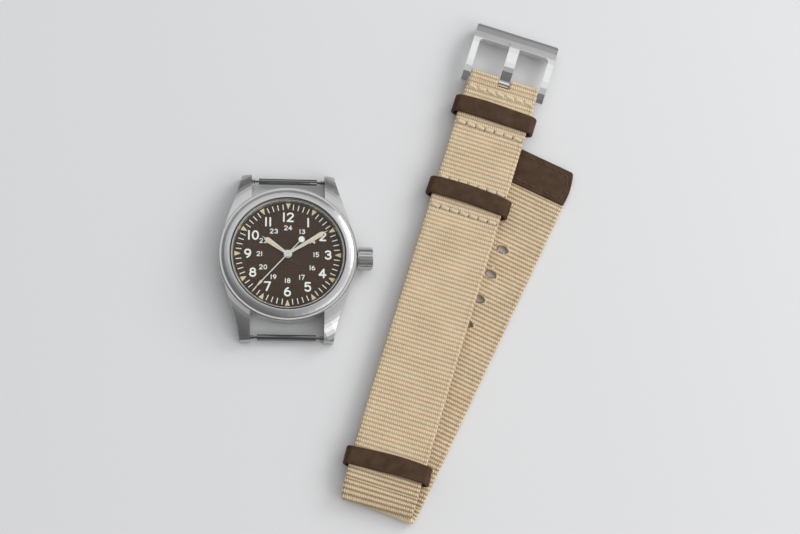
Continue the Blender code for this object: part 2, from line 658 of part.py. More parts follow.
def make_train(materials, frames, at):
    """Going train, from the barrel to the escape wheel, and the motion work under the dial."""
    brass, steel = materials["brass"], materials["polished_steel"]
    pin = circle(PIVOT_RADIUS, TINY)
    toward_third = THIRD_HEADING
    from_third = THIRD_HEADING + 180
    toward_barrel = heading_of((0, 0), at["barrel"])

    wheel = gear(CENTER_TEETH, CENTER_MODULE, toward_third)
    leaves = gear(CENTER_LEAVES, BARREL_MODULE, toward_barrel)
    arbor, bore = circle(0.3), circle(0.19, TINY)
    solid = stack(
        2.72, [arbor, bore],
        CENTER_WHEEL_Z[0], [wheel, bore] + windows(4, 0.9, 3.3, 16),
        CENTER_WHEEL_Z[1], [arbor, bore],
        CENTER_PINION_Z[0], [leaves, bore],
        CENTER_PINION_Z[1], [arbor, bore],
        6.9,
    )
    piece("center_wheel", solid, brass, frames["minute"])

    leaves = gear(CANNON_LEAVES, CANNON_MODULE, MINUTE_WHEEL_HEADING)
    tube, bore = circle(0.48), circle(0.33)
    solid = stack(5.2, [leaves, bore], 5.55, [tube, bore], 7.17)
    piece("cannon_pinion", solid, steel, frames["minute"])

    wheel = gear(THIRD_TEETH, THIRD_MODULE, from_third)
    leaves = gear(THIRD_LEAVES, CENTER_MODULE, gap_heading(from_third, THIRD_LEAVES))
    solid = stack(
        PIVOT_LOW, [pin],
        THIRD_WHEEL_Z[0], [wheel] + windows(4, 0.9, 3.4, 16),
        THIRD_WHEEL_Z[1], [pin],
        THIRD_PINION_Z[0], [leaves],
        THIRD_PINION_Z[1], [pin],
        PIVOT_TOP,
    )
    piece("third_wheel", solid, brass, frames["third"])

    wheel = gear(FOURTH_TEETH, FOURTH_MODULE, ESCAPE_HEADING)
    leaves = gear(FOURTH_LEAVES, THIRD_MODULE, gap_heading(toward_third, FOURTH_LEAVES))
    arbor = circle(0.14, TINY)
    solid = stack(
        PIVOT_LOW, [pin],
        FOURTH_WHEEL_Z[0], [wheel] + windows(4, 0.9, 3.5, 16),
        FOURTH_WHEEL_Z[1], [leaves],
        FOURTH_PINION_TOP, [arbor],
        7.33,
    )
    piece("fourth_wheel", solid, brass, frames["seconds"])

    leaves = gear(ESCAPE_LEAVES, FOURTH_MODULE, gap_heading(ESCAPE_HEADING + 180, ESCAPE_LEAVES))
    pitch = 360.0 / ESCAPE_TEETH
    club = ((1.5, -0.3), (1.86, 0.0), (1.9, 0.16), (1.5, 0.24))
    corners = [(radius, tooth + share) for tooth in range(ESCAPE_TEETH) for radius, share in club]
    teeth = tuple(polar(radius, pitch * place) for radius, place in corners)
    arbor = circle(0.15, TINY)
    solid = stack(
        PIVOT_LOW, [pin],
        ESCAPE_PINION_Z[0], [leaves],
        ESCAPE_PINION_Z[1], [arbor],
        ESCAPE_WHEEL_Z[0], [teeth] + windows(4, 0.45, 1.2, 24),
        ESCAPE_WHEEL_Z[1], [pin],
        PIVOT_TOP,
    )
    piece("escape_wheel", solid, steel, frames["escape"])

    wheel = gear(MINUTE_TEETH, CANNON_MODULE, gap_heading(MINUTE_WHEEL_HEADING + 180, MINUTE_TEETH))
    leaves = gear(MINUTE_LEAVES, HOUR_MODULE, MINUTE_WHEEL_HEADING + 180)
    bore = circle(0.35, TINY)
    solid = stack(5.22, [wheel, bore], 5.42, [leaves, bore], 5.95)
    piece("minute_wheel", solid, brass, frames["minute_wheel"])

    wheel = gear(HOUR_TEETH, HOUR_MODULE, gap_heading(MINUTE_WHEEL_HEADING, HOUR_TEETH))
    pipe, bore = circle(0.75), circle(0.53)
    solid = stack(5.65, [wheel, bore], 5.85, [pipe, bore], 6.97)
    piece("hour_wheel", solid, brass, frames["hour"])


def make_barrel(materials, frames, at):
    brass, steel = materials["brass"], materials["polished_steel"]
    to_centre = heading_of(at["barrel"], (0, 0))
    low, high = BARREL_Z
    wall, inside = circle(5.25, MEDIUM), circle(4.9, MEDIUM)
    teeth = gear(BARREL_TEETH, BARREL_MODULE, gap_heading(to_centre, BARREL_TEETH))
    solid = stack(low, [wall, inside], BARREL_TEETH_LOW, [teeth, circle(0.58)], high)
    piece("barrel_drum", solid, brass, frames["barrel"])
    cover = stack(low, [circle(4.86, MEDIUM), circle(0.7)], low + 0.18)
    piece("barrel_cover", cover, brass, frames["barrel"])
    coil = spiral(1.42, 4.7, 4, 0.12, 12)
    piece("mainspring", stack(low + 0.24, [coil], high - 0.26), materials["spring_steel"], frames["barrel"])

    shaft, hub, tip = circle(0.62), circle(1.3), circle(0.5)
    solid = stack(RATCHET_Z[0], [shaft], low + 0.22, [hub], high - 0.24, [tip], PIVOT_TOP)
    piece("barrel_arbor", solid, steel, frames["ratchet"])
    to_crown_wheel = heading_of(at["barrel"], at["crown_wheel"])
    ring = gear(RATCHET_TEETH, RATCHET_MODULE, to_crown_wheel)
    wheel = stack(RATCHET_Z[0], [ring, circle(0.66)], RATCHET_Z[1])
    piece("ratchet_wheel", wheel, steel, frames["ratchet"])

    flat = gear(CROWN_WHEEL_TEETH, RATCHET_MODULE, gap_heading(to_crown_wheel + 180, CROWN_WHEEL_TEETH))
    outer, inner, hub, bore = circle(1.9, MEDIUM), circle(1.5, MEDIUM), circle(0.95), circle(0.66)
    pitch = 360.0 / CONTRATE_TEETH
    half_tooth = 0.15 * pitch
    centres = [pitch * (i + 0.5) for i in range(CONTRATE_TEETH)]
    teeth = [sector(1.54, 1.86, at - half_tooth, at + half_tooth, 2) for at in centres]
    pitch_line = STEM_Z - WINDING_RADIUS
    solid = stack(
        RATCHET_Z[0], [flat, bore],
        RATCHET_Z[1], [outer, inner, hub, bore],
        pitch_line - 1.25 * WINDING_MODULE, teeth,
        pitch_line + WINDING_MODULE,
    )
    piece("crown_wheel", solid, steel, frames["crown_wheel"])


def click_pivot(at):
    return polar(6.7, 165, at["barrel"])


def make_click(materials, frames, at):
    pivot_place = click_pivot(at)
    beak = polar(5.57, 152, at["barrel"])
    local_beak = (beak[0] - pivot_place[0], beak[1] - pivot_place[1])
    outline = capsule((0.0, 0.0), 0.7, local_beak, 0.3)
    solid = stack(RATCHET_Z[0], [outline, circle(0.35, TINY)], RATCHET_Z[1])
    piece("click", solid, materials["polished_steel"], frames["click"])


def make_balance(materials, frames, at):
    steel = materials["polished_steel"]
    to_fork = heading_of(at["balance"], at["fork"])
    pin, staff, collet = circle(PIVOT_RADIUS, TINY), circle(0.2, TINY), circle(0.28, TINY)
    impulse = circle(0.08, 6, polar(0.6, to_fork))
    solid = stack(
        PIVOT_LOW, [pin],
        2.1, [collet],
        BALANCE_RIM_Z[0], [circle(3.6, MEDIUM)] + windows(2, 0.5, 3.1, 14, to_fork),
        BALANCE_RIM_Z[1], [staff],
        3.0, [circle(0.9)],
        3.12, [staff, impulse],
        FORK_Z[1] - 0.03, [pin],
        PIVOT_TOP,
    )
    piece("balance_wheel", solid, materials["brass"], frames["balance"])
    coil = stack(HAIRSPRING_Z[0], [spiral(0.36, 2.4, 4, 0.05, 12)], HAIRSPRING_Z[1])
    piece("hairspring", coil, materials["spring_steel"], frames["balance"])

    half = [(2.5, 0.28), (2.15, 0.28), (1.9, 0.12), (0.45, 0.18), (0.1, 0.55), (-0.3, 1.3), (-0.58, 1.22)]
    half += [(-0.42, 0.7), (-0.3, 0.25)]
    outline = tuple(half + [(x, -y) for x, y in reversed(half)])
    solid = stack(3.2, [pin], FORK_Z[0], [outline], FORK_Z[1], [pin], PIVOT_TOP)
    fork = piece("pallet_fork", solid, steel, frames["fork"])
    fork.rotation_euler.z = math.radians(heading_of(at["fork"], at["balance"]))


# ---------------------------------------------------------------- crown


def make_crown(materials, frames):
    steel = materials["brushed_steel"]
    tube = stack(15.6, [circle(TUBE_RADIUS), circle(0.6)], 20.9)
    piece("crown_tube", tube, materials["polished_steel"], frames["stem"], along_x=True)

    pinion = gear(WINDING_TEETH, WINDING_MODULE)
    square = rectangle(-0.37, 0.37, -0.37, 0.37)
    solid = stack(9.65, [pinion, square], 10.15)
    piece("winding_pinion", solid, materials["polished_steel"], frames["winding"], along_x=True)

    shank = rectangle(-0.34, 0.34, -0.34, 0.34)
    stem = stack(8.9, [shank], 11.0, [circle(0.5)], 22.4)
    piece("winding_stem", stem, materials["polished_steel"], frames["crown"], along_x=True)

    pitch = 360.0 / CROWN_FLUTES
    grip = ((CROWN_RADIUS, -0.28), (CROWN_RADIUS, 0.28), (CROWN_RADIUS - 0.22, 0.5))
    corners = [(radius, i + share) for i in range(CROWN_FLUTES) for radius, share in grip]
    flutes = tuple(polar(radius, pitch * place) for radius, place in corners)
    face = circle(CROWN_RADIUS - 0.35, MEDIUM)
    cavity, socket = circle(1.95, SMALL), circle(0.55)
    body = stack(
        CROWN_START, [face, cavity],
        CROWN_START + 0.3, [flutes, cavity],
        21.5, [flutes, socket],
        22.5, [flutes],
        CROWN_END - 0.35, [face],
        CROWN_END,
    )
    piece("crown", body, steel, frames["crown"], along_x=True)


# ---------------------------------------------------------------- spring bars


def make_spring_bar(name, side_y, materials, frames):
    """A tube with a sprung, shouldered tip in each end."""
    steel = materials["polished_steel"]
    half = BAR_TUBE_LENGTH / 2
    tube, bore, mouth = circle(BAR_TUBE_RADIUS, SMALL), circle(BAR_BORE), circle(BAR_MOUTH)
    solid = stack(-half, [tube, mouth], 0.4 - half, [tube, bore], half - 0.4, [tube, mouth], half)
    piece(f"{name}_tube", solid, steel, frames[name], along_x=True)
    lug_face = LUG_WIDTH / 2
    neck, piston, flange, pin = (circle(r, 12) for r in (0.36, 0.56, BAR_FLANGE_RADIUS, BAR_PIN_RADIUS))
    for side, word in ((-1, "left"), (1, "right")):
        marks = (half - 2.0, half - 0.45, lug_face - 0.95, lug_face - 0.65, lug_face - 0.3, lug_face - 0.02)
        marks += (lug_face + BAR_PIN_DEPTH,)
        shapes = ([piston], [neck], [flange], [neck], [flange], [pin])
        levels = [side * marks[0]]
        for mark, shape in zip(marks[1:], shapes):
            levels += [shape, side * mark]
        piece(f"{name}_tip_{word}", stack(*levels), steel, frames[f"{name}_{word}"], along_x=True)
    frames[name].location.y = side_y * BAR_Y * MM


# ---------------------------------------------------------------- strap


def rounded_section(width, low, high, radius):
    """Cross-section of a leather loop, as (x, z), with round corners."""
    x = width / 2 - radius
    centres = rectangle(-x, x, low + radius, high - radius)
    points = []
    for centre, start in zip(centres, (180, 270, 0, 90)):
        points += arc(radius, start, start + 90, 4, centre)
    return tuple(points)


def make_keepers(materials, frame):
    for number, place in enumerate(KEEPER_PLACES, 1):
        outer = rounded_section(KEEPER_OUTER, KEEPER_LOW, UPPER_TOP + LAYER_GAP + LEATHER_THICK, 1.2)
        inner = rounded_section(KEEPER_INNER, SHORT_LOW - LAYER_GAP / 2, UPPER_TOP + LAYER_GAP / 2, 0.35)
        solid = stack(-KEEPER_LENGTH / 2, [outer, inner], KEEPER_LENGTH / 2)
        stand = Matrix(((1, 0, 0, 0), (0, 0, 1, place), (0, 1, 0, 0), (0, 0, 0, 1)))
        bmesh.ops.transform(solid, matrix=stand, verts=solid.verts)
        piece(f"keeper_{number}", solid, materials["leather"], frame)


def upper_profile():
    """Side view of the upper band, as (y, z): it wraps the buckle bar and comes back below itself."""
    bar = (BAR_PLACE, BUCKLE_BAR_Z)
    grip = BUCKLE_BAR_RADIUS + 0.05
    outer = grip + WEB_THICK
    start = BEND_RADIUS + 0.05
    flap_top = SHORT_LOW + WEB_THICK
    eye_mouth = BAR_PLACE - 2.2
    over = [(start, UPPER_TOP), (119.5, UPPER_TOP), (122.5, UPPER_TOP + 0.1), (124.6, UPPER_TOP + 0.4)]
    around = arc(outer, 95, -95, 15, bar)
    back = [(124.6, SHORT_LOW - 0.4), (122.5, SHORT_LOW - 0.1), (119.5, SHORT_LOW)]
    flap = [(FLAP_END, SHORT_LOW), (FLAP_END, flap_top), (eye_mouth, flap_top)]
    eye = arc(grip, -150, 150, 13, bar)
    return over + around + back + flap + eye + [(eye_mouth, UPPER_LOW), (start, UPPER_LOW)]


def make_strap(materials, frames):
    webbing = materials["webbing"]
    half = WEB_WIDTH / 2
    upper = piece("strap_upper", side_prism(-half, [upper_profile()], half), webbing, frames["upper"])
    opening = rectangle(-TONGUE_SLOT / 2, TONGUE_SLOT / 2, TONGUE_SLOT_START, BAR_PLACE + 3)
    slot = tool("tongue_slot", stack(0.0, [opening], 8.0), frames["upper"])
    combine(upper, slot, "DIFFERENCE")

    band = rectangle(-half, half, *SHORT_BAND)
    piece("strap_short_band", stack(SHORT_LOW, [band], SHORT_LOW + WEB_THICK), webbing, frames["upper"])

    outline = rectangle(-half, half, BEND_RADIUS + 0.05, TAIL_WEB_END)
    holes = []
    for i in range(HOLE_COUNT):
        place = FIRST_HOLE - i * HOLE_PITCH
        ring = circle(0.5, 12)
        holes.append(tuple((x * HOLE_SIZE[0], place + y * HOLE_SIZE[1]) for x, y in ring))
    piece("strap_tail", stack(TAIL_LOW, [outline] + holes, TAIL_TOP), webbing, frames["tail"])

    make_bend(webbing, frames["bend"])
    make_tip(materials["leather"], frames["tail"])
    make_keepers(materials, frames["upper"])


def make_bend(webbing, frame):
    """The turn that joins the tail to the upper band; it straightens as the strap opens."""
    bm = bmesh.new()
    half = WEB_WIDTH / 2
    inside = BEND_RADIUS - WEB_THICK
    section = ((-half, BEND_RADIUS), (half, BEND_RADIUS), (half, inside), (-half, inside))
    rows = []
    for i in range(BEND_ROWS):
        share = i / (BEND_ROWS - 1)
        swing = math.radians(-90 - 180 * share)
        heading = math.radians(TAIL_HEADING + (UPPER_HEADING - TAIL_HEADING) * share)
        base = [TAIL_ORIGIN[k] + (UPPER_ORIGIN[k] - TAIL_ORIGIN[k]) * share for k in (0, 1)]
        row = []
        for across, radius in section:
            along = BEND_RADIUS + radius * math.cos(swing)
            x = base[0] + across * math.cos(heading) + along * math.sin(heading)
            y = base[1] - across * math.sin(heading) + along * math.cos(heading)
            row.append(bm.verts.new((x, y, BEND_Z + radius * math.sin(swing))))
        rows.append(row)
    for first, second in zip(rows, rows[1:]):
        for k in range(4):
            bm.faces.new((first[k - 1], first[k], second[k], second[k - 1]))
    bm.faces.new(rows[0])
    bm.faces.new(rows[-1])
    piece("strap_bend", bm, webbing, frame)


def make_tip(leather, frame):
    """A leather cap folded over the end of the tail."""
    half = WEB_WIDTH / 2
    gap = 0.03
    bevel_start = (half, TIP_START + 3.0)
    corner = (half - 1.7, TIP_END)
    side = [(half, TIP_START)]
    side += curve(bevel_start, (half, TIP_END - 3.0), (half - 1.0, TIP_END - 0.6), corner, 6)
    outline = tuple(side + [(-x, y) for x, y in reversed(side)])
    cap = piece("tip_leather", stack(0.0, [outline], TIP_TOP), leather, frame)
    opening = rectangle(-half - 1, half + 1, TIP_START - 1, TAIL_WEB_END + gap)
    pocket = tool("tip_pocket", stack(TAIL_LOW - gap, [opening], TAIL_TOP + gap), frame)
    combine(cap, pocket, "DIFFERENCE")


# ---------------------------------------------------------------- buckle


def make_buckle(materials, frames):
    frame = frames["upper_buckle"]
    half = BUCKLE_WIDTH / 2
    inner = half - BUCKLE_ARM
    top_inner = BUCKLE_HIGH_END - BUCKLE_TOP_BAR
    corner = 1.3
    plan = [(half, BUCKLE_LOW_END), (half, BUCKLE_HIGH_END - 0.4), (half - 0.4, BUCKLE_HIGH_END)]
    mirror = [(-x, y) for x, y in reversed(plan)]
    opening = arc(corner, 180, 90, 6, (corner - inner, top_inner - corner))
    opening += arc(corner, 90, 0, 6, (inner - corner, top_inner - corner))
    outline = tuple(plan + mirror + [(-inner, BUCKLE_LOW_END)] + opening + [(inner, BUCKLE_LOW_END)])
    blank = piece("buckle_frame", stack(0.0, [outline], 9.0), materials["polished_steel"], frame)
    top = curve((BUCKLE_LOW_END - 0.5, 4.1), (129.0, 6.4), (138.0, 5.9), (BUCKLE_HIGH_END + 0.5, 3.2), 12)
    under = curve((BUCKLE_HIGH_END + 0.5, 1.3), (138.0, 3.7), (130.0, 3.6), (BUCKLE_LOW_END - 0.5, 2.7), 12)
    shape = tool("buckle_profile", side_prism(-half - 1, [top + under], half + 1), frame)
    combine(blank, shape, "INTERSECT")
    drill = stack(-half + 0.6, [circle(BUCKLE_BAR_RADIUS + 0.03)], half - 0.6)
    sockets = tool("bar_sockets", drill, frame, along_x=True)
    sockets.location = (0, BAR_PLACE * MM, BUCKLE_BAR_Z * MM)
    combine(blank, sockets, "DIFFERENCE")

    bar = stack(-half + 0.65, [circle(BUCKLE_BAR_RADIUS)], half - 0.65)
    made = piece("buckle_bar", bar, materials["polished_steel"], frame, along_x=True)
    made.location = (0, BAR_PLACE * MM, BUCKLE_BAR_Z * MM)

    bar_hole = BUCKLE_BAR_RADIUS + 0.05
    eye = arc(TONGUE_EYE, 65, 335, 15, (BAR_PLACE, BUCKLE_BAR_Z))
    over = curve((BAR_PLACE + 0.6, 4.95), (130.6, 6.5), (134.5, 6.7), (TONGUE_TIP, 5.45), 9)
    under = curve((TONGUE_TIP, 4.85), (137.0, 5.45), (131.0, 5.5), (BAR_PLACE + 1.35, 3.5), 9)
    outline = eye + under[::-1] + over[::-1]
    hole = circle(bar_hole, SMALL, (BAR_PLACE, BUCKLE_BAR_Z))
    solid = side_prism(-TONGUE_WIDTH / 2, [outline, hole], TONGUE_WIDTH / 2)
    piece("buckle_tongue", solid, materials["polished_steel"], frames["tongue"])


# ---------------------------------------------------------------- assembly


def make_frames(at):
    """Empties on the joints' axes, and the axes of the strap's two layers."""
    frames = {"head": pivot("head_frame")}
    head = frames["head"]
    for name in ("minute", "hour", "seconds"):
        frames[name] = pivot(f"{name}_axis", parent=head)
    for name in ("third", "escape", "barrel", "crown_wheel", "minute_wheel", "fork", "balance"):
        frames[name] = pivot(f"{name}_axis", (*at[name], 0.0), parent=head)
    frames["ratchet"] = pivot("ratchet_axis", (*at["barrel"], 0.0), parent=head)
    frames["click"] = pivot("click_axis", (*click_pivot(at), 0.0), parent=head)
    for name in ("stem", "winding", "crown"):
        frames[name] = pivot(f"{name}_axis", (0.0, 0.0, STEM_Z), parent=head)
    for name in ("spring_bar_12", "spring_bar_6"):
        frames[name] = pivot(f"{name}_axis", (0.0, 0.0, BAR_Z), parent=head)
        for side in ("left", "right"):
            tip = f"{name}_{side}"
            frames[tip] = pivot(f"{tip}_axis", (0.0, 0.0, BAR_Z), parent=frames[name])
    frames["bend"] = pivot("strap_frame")
    frames["tail"] = pivot("tail_frame", (*TAIL_ORIGIN, 0.0), TAIL_HEADING, frames["bend"])
    frames["upper"] = pivot("upper_frame", (*UPPER_ORIGIN, 0.0), UPPER_HEADING, frames["bend"])
    upper_place = (*UPPER_ORIGIN, 0.0)
    frames["upper_buckle"] = pivot("buckle_frame_axis", upper_place, UPPER_HEADING, frames["upper"])
    frames["tongue"] = pivot("tongue_axis", upper_place, UPPER_HEADING, frames["upper_buckle"])
    return frames


def main():
    for leftover in list(bpy.data.objects):
        bpy.data.objects.remove(leftover)
    at = places()
    materials = make_materials()
    frames = make_frames(at)
    head = frames["head"]
    make_case(materials["brushed_steel"], head)
    make_bezel_and_crystal(materials, head)
    make_back(materials, head)
    make_dial(materials, head)
    make_hands(materials, frames)
    make_plate(materials, head, at)
    make_bridges(materials, head, at)
    make_train(materials, frames, at)
    make_barrel(materials, frames, at)
    make_click(materials, frames, at)
    make_balance(materials, frames, at)
    make_crown(materials, frames)
    make_spring_bar("spring_bar_12", 1, materials, frames)
    make_spring_bar("spring_bar_6", -1, materials, frames)
    make_strap(materials, frames)
    make_buckle(materials, frames)


main()
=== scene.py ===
"""Looks for the wristwatch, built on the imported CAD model.

The metal parts keep their CAD shape and get softened edges and brushed or polished steel. The
webbing, the leather and the stitching replace their plain CAD solids. The dial's print and the
hands' lume are added on top. Lengths are in millimetres until a mesh is made.
"""

import math

import bpy
import numpy as np
from mathutils import Matrix, Vector


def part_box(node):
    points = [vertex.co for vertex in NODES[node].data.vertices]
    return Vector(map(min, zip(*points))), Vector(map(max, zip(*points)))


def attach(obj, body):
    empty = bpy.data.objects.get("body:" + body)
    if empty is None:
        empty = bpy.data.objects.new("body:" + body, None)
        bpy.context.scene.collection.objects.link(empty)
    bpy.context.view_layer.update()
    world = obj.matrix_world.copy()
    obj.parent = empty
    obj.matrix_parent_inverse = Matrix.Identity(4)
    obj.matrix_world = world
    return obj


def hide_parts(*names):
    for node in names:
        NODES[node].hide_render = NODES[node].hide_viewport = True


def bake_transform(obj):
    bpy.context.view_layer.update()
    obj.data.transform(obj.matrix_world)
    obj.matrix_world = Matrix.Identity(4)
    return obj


MM = 0.001

# ---- strap layers: where each one starts, and its heading clockwise from +Y ----
UPPER_ORIGIN = (23.35, -68.98)
UPPER_HEADING = 17.1
TAIL_ORIGIN = (24.89, -69.56)
TAIL_HEADING = 25.3
WEB_WIDTH = 20.0
WEB_THICK = 1.15
BEND_REACH = 5.5
BAR_PLACE = 126.75
BAR_GRIP = 0.68
FOLD_START = 119.5
FOLD_PINCH = 122.4
FOLD_DIP = 0.08
FLAP_END = 86.5
SHORT_BAND = (9.6, 86.2)
TAIL_END = 107.4
BUCKLE_SQUEEZE = 0.12
SQUEEZE_REACH = 4.5
SQUEEZE_SHARE = 0.01
BUCKLE_BAR_START = 137.7
TONGUE_SLOT = 1.7
TONGUE_SLOT_START = 125.1
FIRST_HOLE = 81.5
HOLE_PITCH = 7.9
HOLE_COUNT = 9
HOLE_SIZE = (1.55, 1.05)

# ---- weave: ribs along the strap, loops across it, and the mesh that carries them ----
RIB_PITCH = 1.22
RIB_STEPS = 8
YARN_PITCH = 0.6
COLUMN = 0.5
SELVAGE_INSET = 0.25
SELVAGE_BULGE = 0.1
SELVAGE_SHARE = 0.62
EDGE_LINE = 9.1
HOLE_LIP = (0.14, 0.10)
DARNS_PER_HOLE = 6
DARN_REACH = (2.0, 1.5)

# ---- how the weave gives way: ribs open towards the crease, and vanish round the buckle bar ----
CREASE_ZONE = 11.0
CREASE_FADE = 3.0
CREASE_RIBS = 2.4
CREASE_SKEW = 0.045
CREASE_DRAW = 0.045
CREASE_ROUND = 0.85
SWEEP = 0.7
SWEEP_START = 45.0
TIGHT_START = 0.75
TIGHT_FADE = 0.3

# ---- leather ----
KEEPER_TILTS = (0.0, 1.2, -2.0)
KEEPER_SHIFTS = (0.0, 0.0, 0.1)
KEEPER_LENGTH = 5.2
KEEPER_HALF = 11.95
KEEPER_THICK = 0.95
KEEPER_CROWN = 0.14
KEEPER_BOW = 0.32
KEEPER_PINCH = 0.06
KEEPER_WAVER = 0.10
KEEPER_WAVER_RATE = 0.28
TIP_START = 100.6
TIP_END = 110.9

# ---- stitching ----
STITCH_ROWS = (122.95, 111.8, 94.6, 86.0)
STITCH_LENGTH = 2.15
STITCH_PITCH = 2.75
STITCH_COUNT = 7
STITCH_RADIUS = 0.43
TIP_STITCH = 1.3
TIP_STITCH_GAP = 0.9
TIP_STITCH_INSET = 1.45
THREAD_WIDE = 1.25
THREAD_TALL = 0.75
THREAD_PLUNGE = 3.5

# ---- dial ----
PRINT_THICK = 0.02
HOURS_RADII = (10.9, 10.5)
HOURS_HEIGHT = 2.75
SMALL_RADII = (7.7, 7.45)
SMALL_HEIGHT = 1.4
STROKE = 0.17
STROKE_STEP = 0.006
GROUND_EDGE = 14.7
TICK_RADII = (12.6, 14.2)
TICK_WIDTH = 0.24
MARKER_RADII = (12.85, 14.45)
MARKER_WIDTH = 1.35
MARKER_POINT = 0.12
LUME_THICK = 0.05
HAND_HEADINGS = {"hour_hand": 304.8, "minute_hand": 57.7, "second_hand": 222.0}

# ---- camera ----
CAMERA_TARGET = (31.26, -1.03, 0.0)
CAMERA_DISTANCE = 600.0
CAMERA_TILT = 16.14
CAMERA_SIDE = -5.13
CAMERA_ROLL = -0.32
CAMERA_LENS = 97.65

# ---- light: lamps first, then the sky as cloth sees it, then as steel mirrors it ----
LIGHT_AIM = (25, 0, 0)
KEY_PLACE = (600, 380, 420)
KEY_SIZE = (420, 420)
KEY_POWER = 2.3
FILL_PLACE = (400, -270, 360)
FILL_SIZE = (260, 260)
FILL_POWER = 0.42
FLOOR_HALF = 3000.0
FLOOR_LEVEL = -0.02
SKY_BASE = 0.48
SKY_PANEL = 0.62
SKY_SIDE = 0.62
PANEL_AIM = (-0.10, 0.34, 0.93)
SIDE_AIM = (0.85, -0.25, 0.45)
BACKDROP = 0.52
SHINE_BASE = 0.17
SHINE_PANEL = 0.78
SHINE_SIDE = 0.60
SHINE_PANEL_AIM = (-0.10, 0.50, 0.86)
SHINE_SIDE_AIM = (0.68, -0.22, 0.70)

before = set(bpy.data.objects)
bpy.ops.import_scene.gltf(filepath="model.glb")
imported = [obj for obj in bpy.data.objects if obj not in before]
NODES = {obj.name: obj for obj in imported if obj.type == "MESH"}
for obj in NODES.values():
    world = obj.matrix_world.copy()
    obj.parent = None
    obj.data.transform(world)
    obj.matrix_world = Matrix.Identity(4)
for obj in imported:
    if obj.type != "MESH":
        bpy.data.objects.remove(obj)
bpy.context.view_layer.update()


def span(node):
    """Lowest and highest z of a CAD node, in millimetres."""
    low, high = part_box(node)
    return low.z / MM, high.z / MM


def middle(node):
    """Centre of a CAD node's box, in millimetres."""
    low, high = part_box(node)
    return (low + high) / (2 * MM)


DIAL_TOP = span("dial")[1]
TAIL_LEVEL = sum(span("strap_tail")) / 2
SHORT_LEVEL = sum(span("strap_short_band")) / 2
BAR_LEVEL = middle("buckle_bar").z
UPPER_LEVEL = 2 * BAR_LEVEL - SHORT_LEVEL
TIP_TOP = span("tip_leather")[1]
KEEPER_LEVELS = span("keeper_1")


# ---------------------------------------------------------------- node materials


class Shader:
    """A short way to lay out a node material."""

    def __init__(self, name):
        self.material = bpy.data.materials.new(name)
        self.material.use_nodes = True
        self.tree = self.material.node_tree
        self.body = self.tree.nodes["Principled BSDF"]

    def node(self, kind, **settings):
        """A new shader node, with its settings."""
        made = self.tree.nodes.new(f"ShaderNode{kind}")
        for key, value in settings.items():
            setattr(made, key, value)
        return made

    def link(self, source, target):
        self.tree.links.new(source, target)

    def feed(self, target, value):
        """Gives an input another node's output, or a plain value."""
        if hasattr(value, "links"):
            self.link(value, target)
        else:
            target.default_value = value

    def set(self, **values):
        """Inputs of the surface by name, with _ for a space."""
        for name, value in values.items():
            self.feed(self.body.inputs[name.replace("_", " ")], value)

    def math(self, operation, a, b=0.0, clamp=False):
        made = self.node("Math", operation=operation, use_clamp=clamp)
        self.feed(made.inputs[0], a)
        self.feed(made.inputs[1], b)
        return made.outputs[0]

    def swing(self, value, amount):
        """A value between 0 and 1 as a swing of the given size about zero."""
        return self.math("MULTIPLY", self.math("SUBTRACT", value, 0.5), amount)

    def position(self, scale=(1.0, 1.0, 1.0)):
        """Object coordinates in millimetres, stretched by scale."""
        made = self.node("Mapping")
        made.inputs["Scale"].default_value = [v / MM for v in scale]
        self.link(self.node("TexCoord").outputs["Object"], made.inputs["Vector"])
        return made.outputs[0]

    def noise(self, vector, scale=1.0, detail=4.0, roughness=0.6):
        made = self.node("TexNoise")
        made.inputs["Scale"].default_value = scale
        made.inputs["Detail"].default_value = detail
        made.inputs["Roughness"].default_value = roughness
        self.link(vector, made.inputs["Vector"])
        return made.outputs["Fac"]

    def cells(self, vector, scale=1.0, feature="F1"):
        made = self.node("TexVoronoi", feature=feature)
        made.inputs["Scale"].default_value = scale
        self.link(vector, made.inputs["Vector"])
        return made.outputs["Distance"]

    def ramp(self, value, *stops):
        """Colours by value: (place, colour) pairs; a plain number stands for a grey."""
        made = self.node("ValToRGB")
        elements = made.color_ramp.elements
        while len(elements) < len(stops):
            elements.new(0.5)
        for element, (place, colour) in zip(elements, stops):
            element.position = place
            element.color = (*colour, 1.0) if isinstance(colour, tuple) else (colour, colour, colour, 1.0)
        self.link(value, made.inputs[0])
        return made.outputs[0]

    def mix(self, factor, first, second):
        made = self.node("Mix", data_type="RGBA")
        self.feed(made.inputs[0], factor)
        for target, value in ((made.inputs[6], first), (made.inputs[7], second)):
            self.feed(target, (*value, 1.0) if isinstance(value, tuple) else value)
        return made.outputs[2]

    def bump(self, height, distance_mm, strength=1.0, below=None):
        made = self.node("Bump")
        made.inputs["Strength"].default_value = strength
        made.inputs["Distance"].default_value = distance_mm * MM
        self.link(height, made.inputs["Height"])
        if below is not None:
            self.link(below, made.inputs["Normal"])
        self.link(made.outputs[0], self.body.inputs["Normal"])
        return made.outputs[0]


def steel(name, colour, roughness, grain=(1.0, 1.0, 1.0), depth=0.004, spread=0.10):
    """Stainless steel: fine scratches along one direction, and a broad smear of handling."""
    s = Shader(name)
    fine = s.noise(s.position(grain), 6.0, 3.0, 0.7)
    smear = s.noise(s.position(), 0.25, 3.0, 0.5)
    rough = s.math("ADD", s.math("MULTIPLY", fine, spread), roughness - spread / 2)
    rough = s.math("ADD", rough, s.swing(smear, 0.12), clamp=True)
    darker = tuple(c * 0.86 for c in colour)
    s.set(Metallic=1.0, Base_Color=s.mix(fine, darker, colour), Roughness=rough)
    s.bump(fine, depth)
    return s.material


